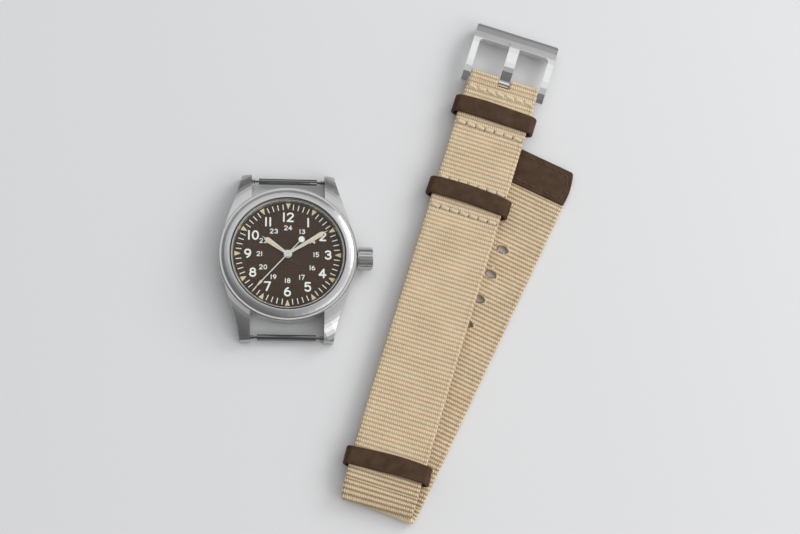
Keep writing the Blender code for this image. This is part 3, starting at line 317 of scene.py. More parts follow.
def turned_steel(name, colour, roughness, pitch=0.12, depth=0.004):
    """Steel brushed in circles around the dial's axis."""
    s = Shader(name)
    split = s.node("SeparateXYZ")
    s.link(s.position(), split.inputs[0])
    x, y = split.outputs[0], split.outputs[1]
    radius = s.math("SQRT", s.math("ADD", s.math("MULTIPLY", x, x), s.math("MULTIPLY", y, y)))
    around = s.math("ARCTAN2", y, x)
    join = s.node("CombineXYZ")
    s.link(s.math("DIVIDE", radius, pitch), join.inputs[0])
    s.link(s.math("MULTIPLY", around, 3.0), join.inputs[1])
    fine = s.noise(join.outputs[0], 1.0, 2.0, 0.6)
    smear = s.noise(s.position(), 0.2, 2.0, 0.5)
    rough = s.math("ADD", s.math("MULTIPLY", fine, 0.12), roughness - 0.1)
    rough = s.math("ADD", rough, s.math("MULTIPLY", smear, 0.08), clamp=True)
    darker = tuple(c * 0.88 for c in colour)
    s.set(Metallic=1.0, Base_Color=s.mix(fine, darker, colour), Roughness=rough)
    s.bump(fine, depth)
    return s.material


def buckle_steel(name, colour, along, start):
    """Polished steel whose top bar, past start along the strap, has a satin finish."""
    s = Shader(name)
    fine = s.noise(s.position((1.0, 1.0, 1.0)), 9.0, 3.0, 0.7)
    dot = s.node("VectorMath", operation="DOT_PRODUCT")
    s.link(s.position(), dot.inputs[0])
    dot.inputs[1].default_value = (*along, 0.0)
    satin = s.math("MULTIPLY", s.math("SUBTRACT", dot.outputs["Value"], start), 3.0, clamp=True)
    rough = s.math("ADD", 0.07, s.math("MULTIPLY", satin, 0.28))
    rough = s.math("ADD", rough, s.math("MULTIPLY", fine, 0.06))
    s.set(Metallic=1.0, Base_Color=s.mix(satin, colour, tuple(c * 0.72 for c in colour)), Roughness=rough)
    s.bump(fine, 0.004)
    return s.material


def webbing(name, light, dark):
    """Ribbed webbing: every rib is a row of small upright loops, set half a loop on from its neighbours."""
    s = Shader(name)
    weave = s.node("Attribute", attribute_name="weave")
    split = s.node("SeparateXYZ")
    s.link(weave.outputs["Vector"], split.inputs[0])
    across, along, strain = split.outputs
    smooth = s.math("MAXIMUM", strain, 0.0)
    gap_shade = s.math("MAXIMUM", s.math("MULTIPLY", strain, -1.0), 0.0)
    ribs = s.math("DIVIDE", along, RIB_PITCH)
    number = s.math("FLOOR", s.math("ADD", ribs, 0.5))
    yarn = s.math("ADD", s.math("DIVIDE", across, YARN_PITCH), s.math("MULTIPLY", number, 0.5))
    yarn = s.math("ADD", yarn, s.math("MULTIPLY", ribs, 0.35))
    wave = s.math("SINE", s.math("MULTIPLY", yarn, 2 * math.pi))
    loops = s.math("ADD", s.math("MULTIPLY", wave, 0.5), 0.5)
    rib = s.math("ABSOLUTE", s.math("COSINE", s.math("MULTIPLY", ribs, math.pi)))
    # Where the strain is negative the dark gaps between the ribs widen: painted shade in the opened grooves
    # near the crease, and along the tail.
    rib = s.math("POWER", rib, s.math("ADD", gap_shade, 0.55))
    height = s.math("ADD", s.math("MULTIPLY", rib, 0.55), s.math("MULTIPLY", loops, 0.45))
    stretched = s.node("VectorMath", operation="MULTIPLY")
    s.link(weave.outputs["Vector"], stretched.inputs[0])
    stretched.inputs[1].default_value = (2.4, 0.9, 1.0)
    uneven = s.noise(stretched.outputs[0], 1.0, 3.0, 0.6)
    broad = s.noise(weave.outputs["Vector"], 0.12, 2.0, 0.5)
    fibre = s.noise(s.position(), 8.0, 2.0, 0.6)
    tone = s.math("ADD", height, s.swing(uneven, 0.55))
    tone = s.math("ADD", tone, s.swing(broad, 0.30))
    tone = s.math("ADD", tone, s.swing(fibre, 0.35))
    from_line = s.math("ABSOLUTE", s.math("SUBTRACT", s.math("ABSOLUTE", across), EDGE_LINE))
    off_line = s.math("ADD", 0.72, s.math("MULTIPLY", from_line, 1.6), clamp=True)
    tone = s.math("MULTIPLY", tone, off_line, clamp=True)
    middle_tone = tuple(0.58 * a + 0.42 * b for a, b in zip(light, dark))
    # The tone follows the weave's height, so the grooves between the ribs come out dark: partly the weave's
    # own pattern, partly painted shade in the grooves.
    cloth = s.ramp(tone, (0.22, dark), (0.58, middle_tone), (0.92, light))
    worn = tuple(0.5 * a + 0.5 * b for a, b in zip(light, dark))
    s.set(Base_Color=s.mix(smooth, cloth, worn), Roughness=0.82)
    s.set(Sheen_Weight=0.2, Sheen_Roughness=0.5, Specular_IOR_Level=0.2)
    s.bump(height, 0.14, 0.7, s.bump(fibre, 0.03, 0.5))
    return s.material


def leather(name, colour, worn, grain=1.7):
    """Waxed leather: small pores, a soft pebble and slightly lighter patches."""
    s = Shader(name)
    place = s.position()
    pebble = s.cells(place, grain, "SMOOTH_F1")
    pores = s.noise(place, 5.0, 5.0, 0.7)
    patches = s.noise(place, 0.35, 3.0, 0.55)
    tone = s.math("ADD", s.math("MULTIPLY", patches, 0.75), s.math("MULTIPLY", pores, 0.35), clamp=True)
    s.set(Base_Color=s.ramp(tone, (0.35, colour), (0.75, worn)))
    s.set(Roughness=s.math("ADD", 0.38, s.math("MULTIPLY", pores, 0.26)), Specular_IOR_Level=0.14)
    s.bump(pores, 0.035, 0.8, s.bump(pebble, 0.04, 0.5))
    return s.material


def painted(name, colour, roughness, grain_mm=0.02, variation=0.06, gloss=0.5):
    """Matt print or lacquer with a trace of texture."""
    s = Shader(name)
    fine = s.noise(s.position(), 7.0, 3.0, 0.6)
    lighter = tuple(min(1.0, c * (1 + variation)) for c in colour)
    darker = tuple(c * (1 - variation) for c in colour)
    s.set(Base_Color=s.mix(fine, darker, lighter), Roughness=roughness, Specular_IOR_Level=gloss)
    s.bump(fine, grain_mm, 0.4)
    return s.material


def thread(name, colour):
    """Twisted thread: fine diagonal strands."""
    s = Shader(name)
    twist = s.node("TexWave", wave_type="BANDS", bands_direction="DIAGONAL")
    twist.inputs["Scale"].default_value = 1.3
    twist.inputs["Distortion"].default_value = 1.5
    s.link(s.position(), twist.inputs["Vector"])
    strands = twist.outputs["Fac"]
    s.set(Base_Color=s.mix(strands, tuple(c * 0.72 for c in colour), colour), Roughness=0.75)
    s.set(Sheen_Weight=0.2)
    s.bump(strands, 0.05, 0.7)
    return s.material


def clear_glass(name):
    """A crystal that refracts, frosted towards its ground edge, and lets light through to the dial."""
    s = Shader(name)
    smear = s.noise(s.position(), 0.3, 2.0, 0.5)
    split = s.node("SeparateXYZ")
    s.link(s.position(), split.inputs[0])
    squares = [s.math("MULTIPLY", axis, axis) for axis in split.outputs[:2]]
    radius = s.math("SQRT", s.math("ADD", *squares))
    ground = s.math("MULTIPLY", s.math("SUBTRACT", radius, GROUND_EDGE), 0.55, clamp=True)
    rough = s.math("ADD", s.math("MULTIPLY", smear, 0.02), s.math("MULTIPLY", ground, 0.8), clamp=True)
    s.set(Base_Color=(0.97, 0.99, 0.98, 1.0), Roughness=rough, IOR=1.2)
    s.set(Transmission_Weight=1.0)
    path = s.node("LightPath")
    through = s.node("BsdfTransparent")
    through.inputs["Color"].default_value = (0.96, 0.97, 0.96, 1.0)
    blend = s.node("MixShader")
    either = s.math("MAXIMUM", path.outputs["Is Shadow Ray"], path.outputs["Is Diffuse Ray"])
    s.link(either, blend.inputs[0])
    s.link(s.body.outputs[0], blend.inputs[1])
    s.link(through.outputs[0], blend.inputs[2])
    s.link(blend.outputs[0], s.tree.nodes["Material Output"].inputs["Surface"])
    return s.material


def unit(heading):
    """The direction of a heading, clockwise from +Y."""
    angle = math.radians(heading)
    return (math.sin(angle), math.cos(angle))


def along_upper(x, y):
    """How far a point of the row frame lies along the upper run's heading."""
    along = unit(UPPER_HEADING)
    return x * along[0] + y * along[1]


STEEL = (0.66, 0.66, 0.655)
bar_start = along_upper(*UPPER_ORIGIN) + BUCKLE_BAR_START

MATERIALS = {
    "case": steel("case_steel", STEEL, 0.30, (1.2, 0.12, 1.0)),
    "turned": turned_steel("turned_steel", STEEL, 0.30),
    "polished": steel("polished_steel", (0.70, 0.70, 0.70), 0.12, depth=0.001, spread=0.05),
    "buckle": buckle_steel("buckle_steel", (0.86, 0.86, 0.86), unit(UPPER_HEADING), bar_start),
    # Spring bars: the steel's colour is darkened to 0.24 as painted shade, for the dark they sit in and
    # mirror between the lugs.
    "bar": steel("shaded_bar_steel", (0.24, 0.24, 0.24), 0.16, depth=0.001, spread=0.05),
    "brass": steel("plated_brass", (0.62, 0.47, 0.24), 0.3),
    "blued": steel("blued_steel", (0.14, 0.17, 0.26), 0.25),
    "holder": steel("holder_metal", (0.4, 0.4, 0.42), 0.45),
    "rehaut": turned_steel("rehaut_steel", (0.60, 0.60, 0.55), 0.35, 0.3, 0.001),
    "glass": clear_glass("crystal_glass"),
    "rubber": painted("gasket_rubber", (0.02, 0.02, 0.02), 0.7),
    "dial": painted("dial_lacquer", (0.056, 0.034, 0.022), 0.5, 0.01, 0.12, 0.1),
    "print": painted("white_print", (0.88, 0.87, 0.84), 0.5, 0.01, 0.03),
    "lume": painted("cream_lume", (0.72, 0.60, 0.40), 0.6, 0.03, 0.08),
    "hands": steel("hand_steel", (0.76, 0.75, 0.72), 0.28, depth=0.001, spread=0.05),
    "webbing": webbing("sand_webbing", (0.80, 0.64, 0.43), (0.25, 0.175, 0.095)),
    "leather": leather("brown_leather", (0.052, 0.025, 0.0115), (0.088, 0.051, 0.031)),
    "thread": thread("tan_thread", (0.80, 0.66, 0.45)),
    "tip_thread": thread("russet_thread", (0.085, 0.034, 0.018)),
    # Needle pits: a flat dark brown oval at each stitch end, painted shade of the hollow where the thread
    # goes down.
    "pit": painted("needle_pit_shade", (0.10, 0.062, 0.03), 0.9, 0.05, 0.2, 0.1),
    # Hole lips: dark brown, partly the heat-sealed edge and partly painted shade at the holes' edges.
    "sealed_and_shaded": painted("sealed_edge_and_shade", (0.16, 0.10, 0.05), 0.45, 0.05, 0.25, 0.4),
    "floor": painted("pale_floor", (0.72, 0.722, 0.725), 0.6, 0.02, 0.01, 0.2),
}


# ---------------------------------------------------------------- mesh helpers


def add_object(name, points, faces, material, smooth=True):
    """Points in millimetres and faces become an object in metres."""
    mesh = bpy.data.meshes.new(name)
    mesh.from_pydata((np.asarray(points, float) * MM).tolist(), [], [[int(i) for i in f] for f in faces])
    mesh.materials.append(MATERIALS[material])
    if smooth:
        mesh.shade_smooth()
    made = bpy.data.objects.new(name, mesh)
    bpy.context.scene.collection.objects.link(made)
    return made


def grid_faces(rows, columns, closed_columns=True):
    """Quads of a grid of points, row by row; the columns run round a loop."""
    steps = columns if closed_columns else columns - 1
    row, column = np.meshgrid(np.arange(rows - 1), np.arange(steps), indexing="ij")
    beside = (column + 1) % columns
    here, above = row * columns, (row + 1) * columns
    quads = np.stack([here + column, here + beside, above + beside, above + column], -1)
    return quads.reshape(-1, 4)


def tube_faces(rows, columns):
    """Quads of a closed tube of rings, and a cap on each end."""
    last = (rows - 1) * columns
    caps = [list(range(columns))[::-1], [last + i for i in range(columns)]]
    return grid_faces(rows, columns).tolist() + caps


def merge(parts):
    """Several (points, faces) pairs as one."""
    points, faces, count = [], [], 0
    for part_points, part_faces in parts:
        points.append(part_points)
        faces += [[i + count for i in face] for face in part_faces]
        count += len(part_points)
    return np.vstack(points), faces


def slab(outline, low, high):
    """A thin flat plate with the given outline."""
    outline = np.asarray(outline, float)
    levels = [np.column_stack([outline, np.full(len(outline), z)]) for z in (low, high)]
    return np.vstack(levels), tube_faces(2, len(outline))


def to_layer(points, origin, heading):
    """Local x across, y along and z up become row-frame points."""
    points = np.asarray(points, float)
    angle = math.radians(heading)
    c, s = math.cos(angle), math.sin(angle)
    x, y = points[:, 0], points[:, 1]
    return np.stack([origin[0] + x * c + y * s, origin[1] - x * s + y * c, points[:, 2]], -1)


def soften(node, width_mm, segments=2, angle=30.0):
    """Rounds a CAD node's hard edges without touching its mesh."""
    bevel = NODES[node].modifiers.new("edge", "BEVEL")
    bevel.width = width_mm * MM
    bevel.segments = segments
    bevel.limit_method = "ANGLE"
    bevel.angle_limit = math.radians(angle)
    bevel.harden_normals = True


def dress(node, material, angle=35.0):
    """Gives a CAD node its material, shaded smooth up to the given angle."""
    mesh = NODES[node].data
    mesh.materials.clear()
    mesh.materials.append(MATERIALS[material])
    mesh.shade_smooth()
    mesh.set_sharp_from_angle(angle=math.radians(angle))


# ---------------------------------------------------------------- webbing


def resample(path, step):
    """A polyline at even steps of about the given length: (points, arc lengths)."""
    path = np.asarray(path, float)
    lengths = np.concatenate([[0.0], np.cumsum(np.linalg.norm(np.diff(path, axis=0), axis=1))])
    count = max(2, int(round(lengths[-1] / step)) + 1)
    marks = np.linspace(0.0, lengths[-1], count)
    return np.stack([np.interp(marks, lengths, path[:, k]) for k in range(path.shape[1])], -1), marks


def ribbon(path, x_low, x_high, rib_height=0.05, selvage=0.1, phase=0.0, gap_shade=0.0):
    """A strip of webbing along a (y, z) path: (points, faces, weave).

    weave holds, for each point, the place across, the length along, and the strain: 1 where
    the cloth is drawn tight and shows no ribs, -1 where the dark gaps between the ribs are widened
    as painted shade, near the crease and along the tail through gap_shade. Close to the buckle
    bar the strip is drawn in, because it lies between the buckle's arms.
    """
    centre, marks = resample(path, RIB_PITCH / RIB_STEPS)
    tangent = np.gradient(centre, axis=0)
    tangent /= np.linalg.norm(tangent, axis=1)[:, None]
    normal = np.stack([-tangent[:, 1], tangent[:, 0]], -1)
    tight = np.clip((centre[:, 0] - BAR_PLACE - TIGHT_START) / TIGHT_FADE, 0, 1)
    cycle = np.sqrt(np.abs(np.cos(np.pi * (marks + phase) / RIB_PITCH)))
    near_crease = np.clip((CREASE_ZONE - centre[:, 0]) / CREASE_FADE, 0, 1)
    strain = tight - np.maximum(near_crease, gap_shade)
    rib = rib_height * (1 + CREASE_RIBS * near_crease) * (cycle - 0.5) * (1 - tight)
    columns = max(3, round((x_high - x_low) / COLUMN) + 1)
    across = np.linspace(x_low + SELVAGE_INSET, x_high - SELVAGE_INSET, columns)
    half = WEB_THICK / 2 - rib_height / 2
    edge = half * SELVAGE_SHARE
    x_right, x_left = x_high + SELVAGE_BULGE, x_low - SELVAGE_BULGE
    top = [(x, half, 1.0, 0.0) for x in across]
    right = [(x_high, edge, 0.5, 1.0), (x_right, 0.0, 0.0, 1.0), (x_high, -edge, -0.5, 1.0)]
    bottom = [(x, -half, -1.0, 0.0) for x in across[::-1]]
    left = [(x_low, -edge, -0.5, -1.0), (x_left, 0.0, 0.0, -1.0), (x_low, edge, 0.5, -1.0)]
    section = np.array(top + right + bottom + left)
    held = np.clip(centre[:, 0, None] - BAR_PLACE + SQUEEZE_REACH, 0, 1)
    wavy = selvage * (2 * cycle[:, None] - 1.4) * (1 - held)
    edges = section[None, :, 3] * (wavy - BUCKLE_SQUEEZE * held)
    x = section[None, :, 0] * (1 - SQUEEZE_SHARE * held) + edges
    away = section[None, :, 1] + section[None, :, 2] * rib[:, None]
    y = centre[:, 0, None] + away * normal[:, 0, None]
    z = centre[:, 1, None] + away * normal[:, 1, None]
    along = np.repeat(marks[:, None] + phase, len(section), 1)
    points = np.stack([x, y, z], -1).reshape(-1, 3)
    weave = np.stack([x, along, np.repeat(strain[:, None], len(section), 1)], -1).reshape(-1, 3)
    return points, tube_faces(len(marks), len(section)), weave


def webbing_object(name, node, strips, place):
    """Strips of webbing as one object in a CAD node's stead; place() moves them into the row frame."""
    points, faces = merge([(place(strip[0]), strip[1]) for strip in strips])
    made = add_object(name, points, faces, "webbing")
    attribute = made.data.attributes.new("weave", "FLOAT_VECTOR", "POINT")
    weave = np.vstack([strip[2] for strip in strips])
    attribute.data.foreach_set("vector", weave.astype(np.float32).ravel())
    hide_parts(node)
    return made


def on_upper(points):
    """The upper run lies straight, and sweeps slightly aside close to the crease."""
    points = np.array(points, float)
    points[:, 0] += SWEEP * np.clip(1 - points[:, 1] / SWEEP_START, 0, 1) ** 2
    return to_layer(points, UPPER_ORIGIN, UPPER_HEADING)


def on_tail(points):
    """The tail lies straight."""
    return to_layer(points, TAIL_ORIGIN, TAIL_HEADING)


def bar_loop():
    """The fold around the buckle bar, from the upper run to the flap below it."""
    radius = BAR_GRIP + WEB_THICK / 2
    angles = np.radians(np.linspace(96, -96, 28))
    return np.stack([BAR_PLACE + radius * np.cos(angles), BAR_LEVEL + radius * np.sin(angles)], -1)


def make_upper():
    """The upper band, its fold round the buckle bar with the tongue's slot, and the flap below."""
    half = WEB_WIDTH / 2
    loop = bar_loop()
    fold_top, fold_low = (TONGUE_SLOT_START, loop[0, 1] - 0.1), (TONGUE_SLOT_START, loop[-1, 1] + 0.1)
    pinch_top, pinch_low = (FOLD_PINCH, UPPER_LEVEL + FOLD_DIP), (FOLD_PINCH, SHORT_LEVEL - FOLD_DIP)
    rise = [(BEND_REACH, UPPER_LEVEL), (FOLD_START, UPPER_LEVEL), pinch_top, fold_top]
    fall = [fold_low, pinch_low, (FOLD_START, SHORT_LEVEL), (FLAP_END, SHORT_LEVEL)]
    wrap = [fold_top, *map(tuple, loop), fold_low]
    rise_end = resample(rise, RIB_PITCH / RIB_STEPS)[1][-1]
    strips = [
        ribbon(rise, -half, half),
        ribbon(wrap, -half, -TONGUE_SLOT, phase=rise_end),
        ribbon(wrap, TONGUE_SLOT, half, phase=rise_end),
        ribbon(fall, -half, half),
    ]
    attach(webbing_object("webbing_upper", "strap_upper", strips, on_upper), "strap_leaf")
    band = [(place, SHORT_LEVEL) for place in SHORT_BAND]
    strips = [ribbon(band, -half, half)]
    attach(webbing_object("webbing_short_band", "strap_short_band", strips, on_upper), "strap_leaf")


def hole_rings():
    """Outline of every hole in the tail, in the tail's own axes."""
    turn = np.linspace(0, 2 * np.pi, 28, endpoint=False)
    rings = []
    for i in range(HOLE_COUNT):
        place = FIRST_HOLE - i * HOLE_PITCH
        rings.append(np.stack([HOLE_SIZE[0] * np.cos(turn), place + HOLE_SIZE[1] * np.sin(turn)], -1))
    return rings


def make_tail():
    """The tail's webbing, with its holes cut through it."""
    half = WEB_WIDTH / 2
    # gap_shade widens the dark gaps between the tail's ribs: painted shade that makes the whole tail
    # darker.
    strip = ribbon([(BEND_REACH, TAIL_LEVEL), (TAIL_END, TAIL_LEVEL)], -half, half, 0.11, 0.16, gap_shade=0.6)
    made = webbing_object("webbing_tail", "strap_tail", [strip], on_tail)
    points, faces = merge([slab(ring, -0.5, 2.5) for ring in hole_rings()])
    cutter = add_object("hole_cutter", on_tail(points), faces, "sealed_and_shaded", smooth=False)
    cut = made.modifiers.new("holes", "BOOLEAN")
    cut.operation, cut.object, cut.solver = "DIFFERENCE", cutter, "MANIFOLD"
    shown = made.evaluated_get(bpy.context.evaluated_depsgraph_get())
    mesh = bpy.data.meshes.new_from_object(shown)
    made.modifiers.clear()
    made.data = mesh
    bpy.data.objects.remove(cutter)
    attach(made, "strap_lower")
    make_hole_rims()


def make_hole_rims():
    """The heat-sealed lip round each hole, dark brown partly for the sealing and partly as painted
    shade at the hole's edge, and a few darning stitches beside it.
    """
    rims, darns = [], []
    rng = np.random.default_rng(3)
    top = TAIL_LEVEL + WEB_THICK / 2
    lip = np.linspace(0, 2 * np.pi, 8, endpoint=False)
    for ring in hole_rings():
        centre = ring.mean(0)
        outward = (ring - centre) / np.linalg.norm(ring - centre, axis=1)[:, None]
        spots = ring[:, None, :] + HOLE_LIP[0] * np.cos(lip)[None, :, None] * outward[:, None, :]
        levels = np.broadcast_to(top - 0.05 + HOLE_LIP[1] * np.sin(lip), spots.shape[:2])
        points = np.concatenate([spots, levels[..., None]], -1).reshape(-1, 3)
        faces = grid_faces(len(ring) + 1, len(lip)) % len(points)
        rims.append((points, faces.tolist()))
        for angle in rng.uniform(0, 360, DARNS_PER_HOLE):
            start = centre + dial_point(1.0, angle) * DARN_REACH
            end = start + rng.uniform(-0.12, 0.12, 2) + (0.0, 0.7)
            darns.append(thread_stitch((*start, top), (*end, top), 0.13, 0.05, 0.1))
    points, faces = merge(rims)
    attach(add_object("hole_rims", on_tail(points), faces, "sealed_and_shaded"), "strap_lower")
    points, faces = merge(darns)
    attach(add_object("hole_darning", on_tail(points), faces, "thread"), "strap_lower")


def make_bend():
    """The soft turn at the crease, from the tail's heading to the upper band's."""
    level = (TAIL_LEVEL + UPPER_LEVEL) / 2
    rise = (UPPER_LEVEL - TAIL_LEVEL) / 2
    reach = BEND_REACH - WEB_THICK / 2
    angles = np.radians(np.linspace(-90, -270, 40))
    bulge = np.sign(np.cos(angles)) * np.abs(np.cos(angles)) ** CREASE_ROUND
    path = np.stack([BEND_REACH + reach * bulge, level + rise * np.sin(angles)], -1)
    half = WEB_WIDTH / 2
    points, faces, weave = ribbon(path, -half, half, 0.05, 0.12, RIB_PITCH / 2)
    draw_in = np.clip((BEND_REACH - points[:, 1]) / BEND_REACH, 0, 1) ** 2
    points[:, 1] += CREASE_SKEW * points[:, 0] * draw_in
    points[:, 0] *= 1 - CREASE_DRAW * draw_in
    height = UPPER_LEVEL - TAIL_LEVEL - WEB_THICK
    share = np.clip((points[:, 2] - TAIL_LEVEL - WEB_THICK / 2) / height, 0, 1)
    share = (share * share * (3 - 2 * share))[:, None]
    placed = on_tail(points) * (1 - share) + on_upper(points) * share
    made = webbing_object("webbing_bend", "strap_bend", [(points, faces, weave)], lambda unused: placed)
    start_of_bend = np.array([[0.0, BEND_REACH, 0.0]])
    centre = ((on_tail(start_of_bend) + on_upper(start_of_bend)) / 2)[0]
    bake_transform(made)


# ---------------------------------------------------------------- leather and stitching


def rounded_loop(half_width, low, high, corner, steps=9):
    """A rounded rectangle in (x, z), anticlockwise, with outward normals."""
    points, normals = [], []
    centre_z = (low + high) / 2
    tall = (high - low) / 2
    corners = ((1, -1, -90), (1, 1, 0), (-1, 1, 90), (-1, -1, 180))
    for side_x, side_z, start in corners:
        for angle in np.radians(np.linspace(start, start + 90, steps)):
            direction = np.array([math.cos(angle), math.sin(angle)])
            base = np.array([side_x * (half_width - corner), centre_z + side_z * (tall - corner)])
            points.append(base + corner * direction)
            normals.append(direction)
    return np.array(points), np.array(normals)


def densify(points, normals, step):
    """Adds points along the straight runs of a closed loop."""
    out_points, out_normals = [], []
    for i in range(len(points)):
        j = (i + 1) % len(points)
        parts = max(1, int(round(np.linalg.norm(points[j] - points[i]) / step)))
        for k in range(parts):
            t = k / parts
            out_points.append(points[i] * (1 - t) + points[j] * t)
            out_normals.append(normals[i] * (1 - t) + normals[j] * t)
    return np.array(out_points), np.array(out_normals)


def band_section(width, thick, corner=0.3, steps=4):
    """Outline of a leather strip, as (along, outward), with rounded edges."""
    y, low, high = width / 2 - corner, corner, thick - corner
    outline = []
    for base, start in (((y, low), -90), ((y, high), 0), ((-y, high), 90), ((-y, low), 180)):
        for angle in np.radians(np.linspace(start, start + 90, steps)):
            outline.append((base[0] + corner * math.cos(angle), base[1] + corner * math.sin(angle)))
    return np.array(outline)


def make_keeper(number, tilt, across):
    """A leather loop, bowed a little and drawn in at its ends."""
    low, high = KEEPER_LEVELS
    centre = middle(f"keeper_{number}")
    place = along_upper(centre.x - UPPER_ORIGIN[0], centre.y - UPPER_ORIGIN[1])
    core = rounded_loop(KEEPER_HALF - KEEPER_THICK, low + KEEPER_THICK, high - KEEPER_THICK, 0.9)
    core, normals = densify(*core, 0.8)
    section = band_section(KEEPER_LENGTH, KEEPER_THICK)
    rng = np.random.default_rng(number)
    wave = rng.uniform(0, 2 * math.pi)
    points = []
    for (x, z), (nx, nz) in zip(core, normals):
        bow = (1 - (x / KEEPER_HALF) ** 2) * max(nz, 0.0)
        crown = KEEPER_CROWN * bow
        shift = KEEPER_WAVER * math.sin(KEEPER_WAVER_RATE * x + wave) + KEEPER_BOW * bow
        pinch = 1.0 - KEEPER_PINCH * (x / KEEPER_HALF) ** 2
        for along, out in section:
            thick = out + crown
            points.append((x + nx * thick, along * pinch + shift, z + nz * thick))
    points = np.array(points)
    angle = math.radians(-tilt)
    c, s = math.cos(angle), math.sin(angle)
    x, y = points[:, 0].copy(), points[:, 1].copy()
    points[:, 0], points[:, 1] = x * c - y * s + across, x * s + y * c + place
    faces = grid_faces(len(core) + 1, len(section)) % len(points)
    made = add_object(f"leather_keeper_{number}", on_upper(points), faces, "leather")
    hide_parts(f"keeper_{number}")
    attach(made, "strap_leaf")


def thread_stitch(start, end, radius, rise, sink, count=13, sides=8):
    """One stitch: a thread that comes up, lies flat and goes down again."""
    start, end = np.asarray(start, float), np.asarray(end, float)
    share = np.linspace(0, 1, count)
    lift = np.clip(np.sin(np.pi * share) * THREAD_PLUNGE, 0, 1) * (rise + sink) - sink
    spine = start + share[:, None] * (end - start)
    spine[:, 2] += lift
    forward = np.gradient(spine, axis=0)
    forward /= np.linalg.norm(forward, axis=1)[:, None]
    side = np.cross(forward, (0.0, 0.0, 1.0))
    side /= np.linalg.norm(side, axis=1)[:, None]
    up = np.cross(side, forward)
    ring = np.linspace(0, 2 * np.pi, sides, endpoint=False)
    wide = THREAD_WIDE * np.cos(ring)[None, :, None] * side[:, None, :]
    tall = THREAD_TALL * np.sin(ring)[None, :, None] * up[:, None, :]
    points = spine[:, None, :] + radius * (wide + tall)
    return points.reshape(-1, 3), tube_faces(count, sides)


def needle_pit_shade(place, size, level):
    """Painted shade of the small hollow where a stitch goes down, drawn as a flat dark oval."""
    turn = np.linspace(0, 2 * np.pi, 12, endpoint=False)
    outline = np.stack([place[0] + size[0] * np.cos(turn), place[1] + size[1] * np.sin(turn)], -1)
    return slab(outline, level - 0.1, level + 0.012)


def make_strap_stitches():
    """Rows of thick stitches that hold the strap's layers together, with a flat dark oval at every end as
    painted shade of the needle hole.
    """
    stitches, pit_shades = [], []
    rng = np.random.default_rng(7)
    top = UPPER_LEVEL + WEB_THICK / 2
    for row in STITCH_ROWS:
        for i in range(STITCH_COUNT):
            centre = (i - (STITCH_COUNT - 1) / 2) * STITCH_PITCH + rng.uniform(-0.1, 0.1)
            slant = rng.uniform(-0.05, 0.2)
            start = (centre - STITCH_LENGTH / 2, row + slant, top)
            end = (centre + STITCH_LENGTH / 2, row - slant, top)
            stitches.append(thread_stitch(start, end, STITCH_RADIUS, 0.12, 0.25))
            pit_shades.append(needle_pit_shade((end[0] + 0.22, end[1] - 0.08), (0.26, 0.42), top))
    points, faces = merge(stitches)
    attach(add_object("strap_stitches", on_upper(points), faces, "thread"), "strap_leaf")
    points, faces = merge(pit_shades)
    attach(add_object("strap_stitch_pit_shade", on_upper(points), faces, "pit"), "strap_leaf")


def tip_outline(inset=0.0, steps=7):
    """The leather tip's plan: straight sides that draw in a little towards squared corners."""
    half = WEB_WIDTH / 2 + 0.05 - inset
    low, high = TIP_START + inset, TIP_END - inset
    right = [(half - 0.3, low), (half, low + 0.35), (half + 0.1, low + 2.6)]
    share = np.linspace(0, 1, steps)[1:]
    right += [(half + 0.1 - 1.25 * t * t, low + 2.6 + (high - low - 3.0) * t) for t in share]
    right += [(half - 1.7, high)]
    return np.array(right + [(-x, y) for x, y in right[::-1]])


def make_tip():
    """A folded leather cap, sewn on through the webbing."""
    levels = ((0.02, 0.35), (0.1, 0.0), (TIP_TOP - 0.3, 0.0), (TIP_TOP - 0.08, 0.12), (TIP_TOP, 0.4))
    rings = [np.column_stack([tip_outline(inset), np.full(len(tip_outline()), z)]) for z, inset in levels]
    faces = tube_faces(len(rings), len(rings[0]))
    made = add_object("leather_tip", on_tail(np.vstack(rings)), faces, "leather")
    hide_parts("tip_leather")
    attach(made, "strap_lower")

    line = tip_outline(TIP_STITCH_INSET)
    track, marks = resample(np.vstack([line, line[:1]]), 0.1)
    stitches, pit_shades = [], []
    for start in np.arange(0.0, marks[-1] - TIP_STITCH, TIP_STITCH + TIP_STITCH_GAP):
        ends = (start, start + TIP_STITCH)
        near, far = ([np.interp(mark, marks, track[:, k]) for k in (0, 1)] for mark in ends)
        stitches.append(thread_stitch((*near, TIP_TOP), (*far, TIP_TOP), 0.2, 0.02, 0.14))
        # A flat dark oval at the stitch's far end: painted shade of its needle hole.
        pit_shades.append(needle_pit_shade(far, (0.2, 0.2), TIP_TOP))
    points, faces = merge(stitches)
    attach(add_object("tip_stitches", on_tail(points), faces, "tip_thread"), "strap_lower")
    points, faces = merge(pit_shades)
    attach(add_object("tip_stitch_pit_shade", on_tail(points), faces, "pit"), "strap_lower")


# ---------------------------------------------------------------- dial and hands


def dial_point(radius, clock_degrees):
    """A point on the dial, by its angle clockwise from 12."""
    angle = math.radians(clock_degrees)
    return np.array([radius * math.sin(angle), radius * math.cos(angle)])


def bar_outline(clock_degrees, inner, outer, inner_width, outer_width):
    """The four corners of a tick or marker that points at the dial's centre."""
    along = dial_point(1.0, clock_degrees)
    side = np.array([along[1], -along[0]])
    corners = ((inner, -inner_width), (inner, inner_width), (outer, outer_width), (outer, -outer_width))
    return [along * radius + side * width / 2 for radius, width in corners]


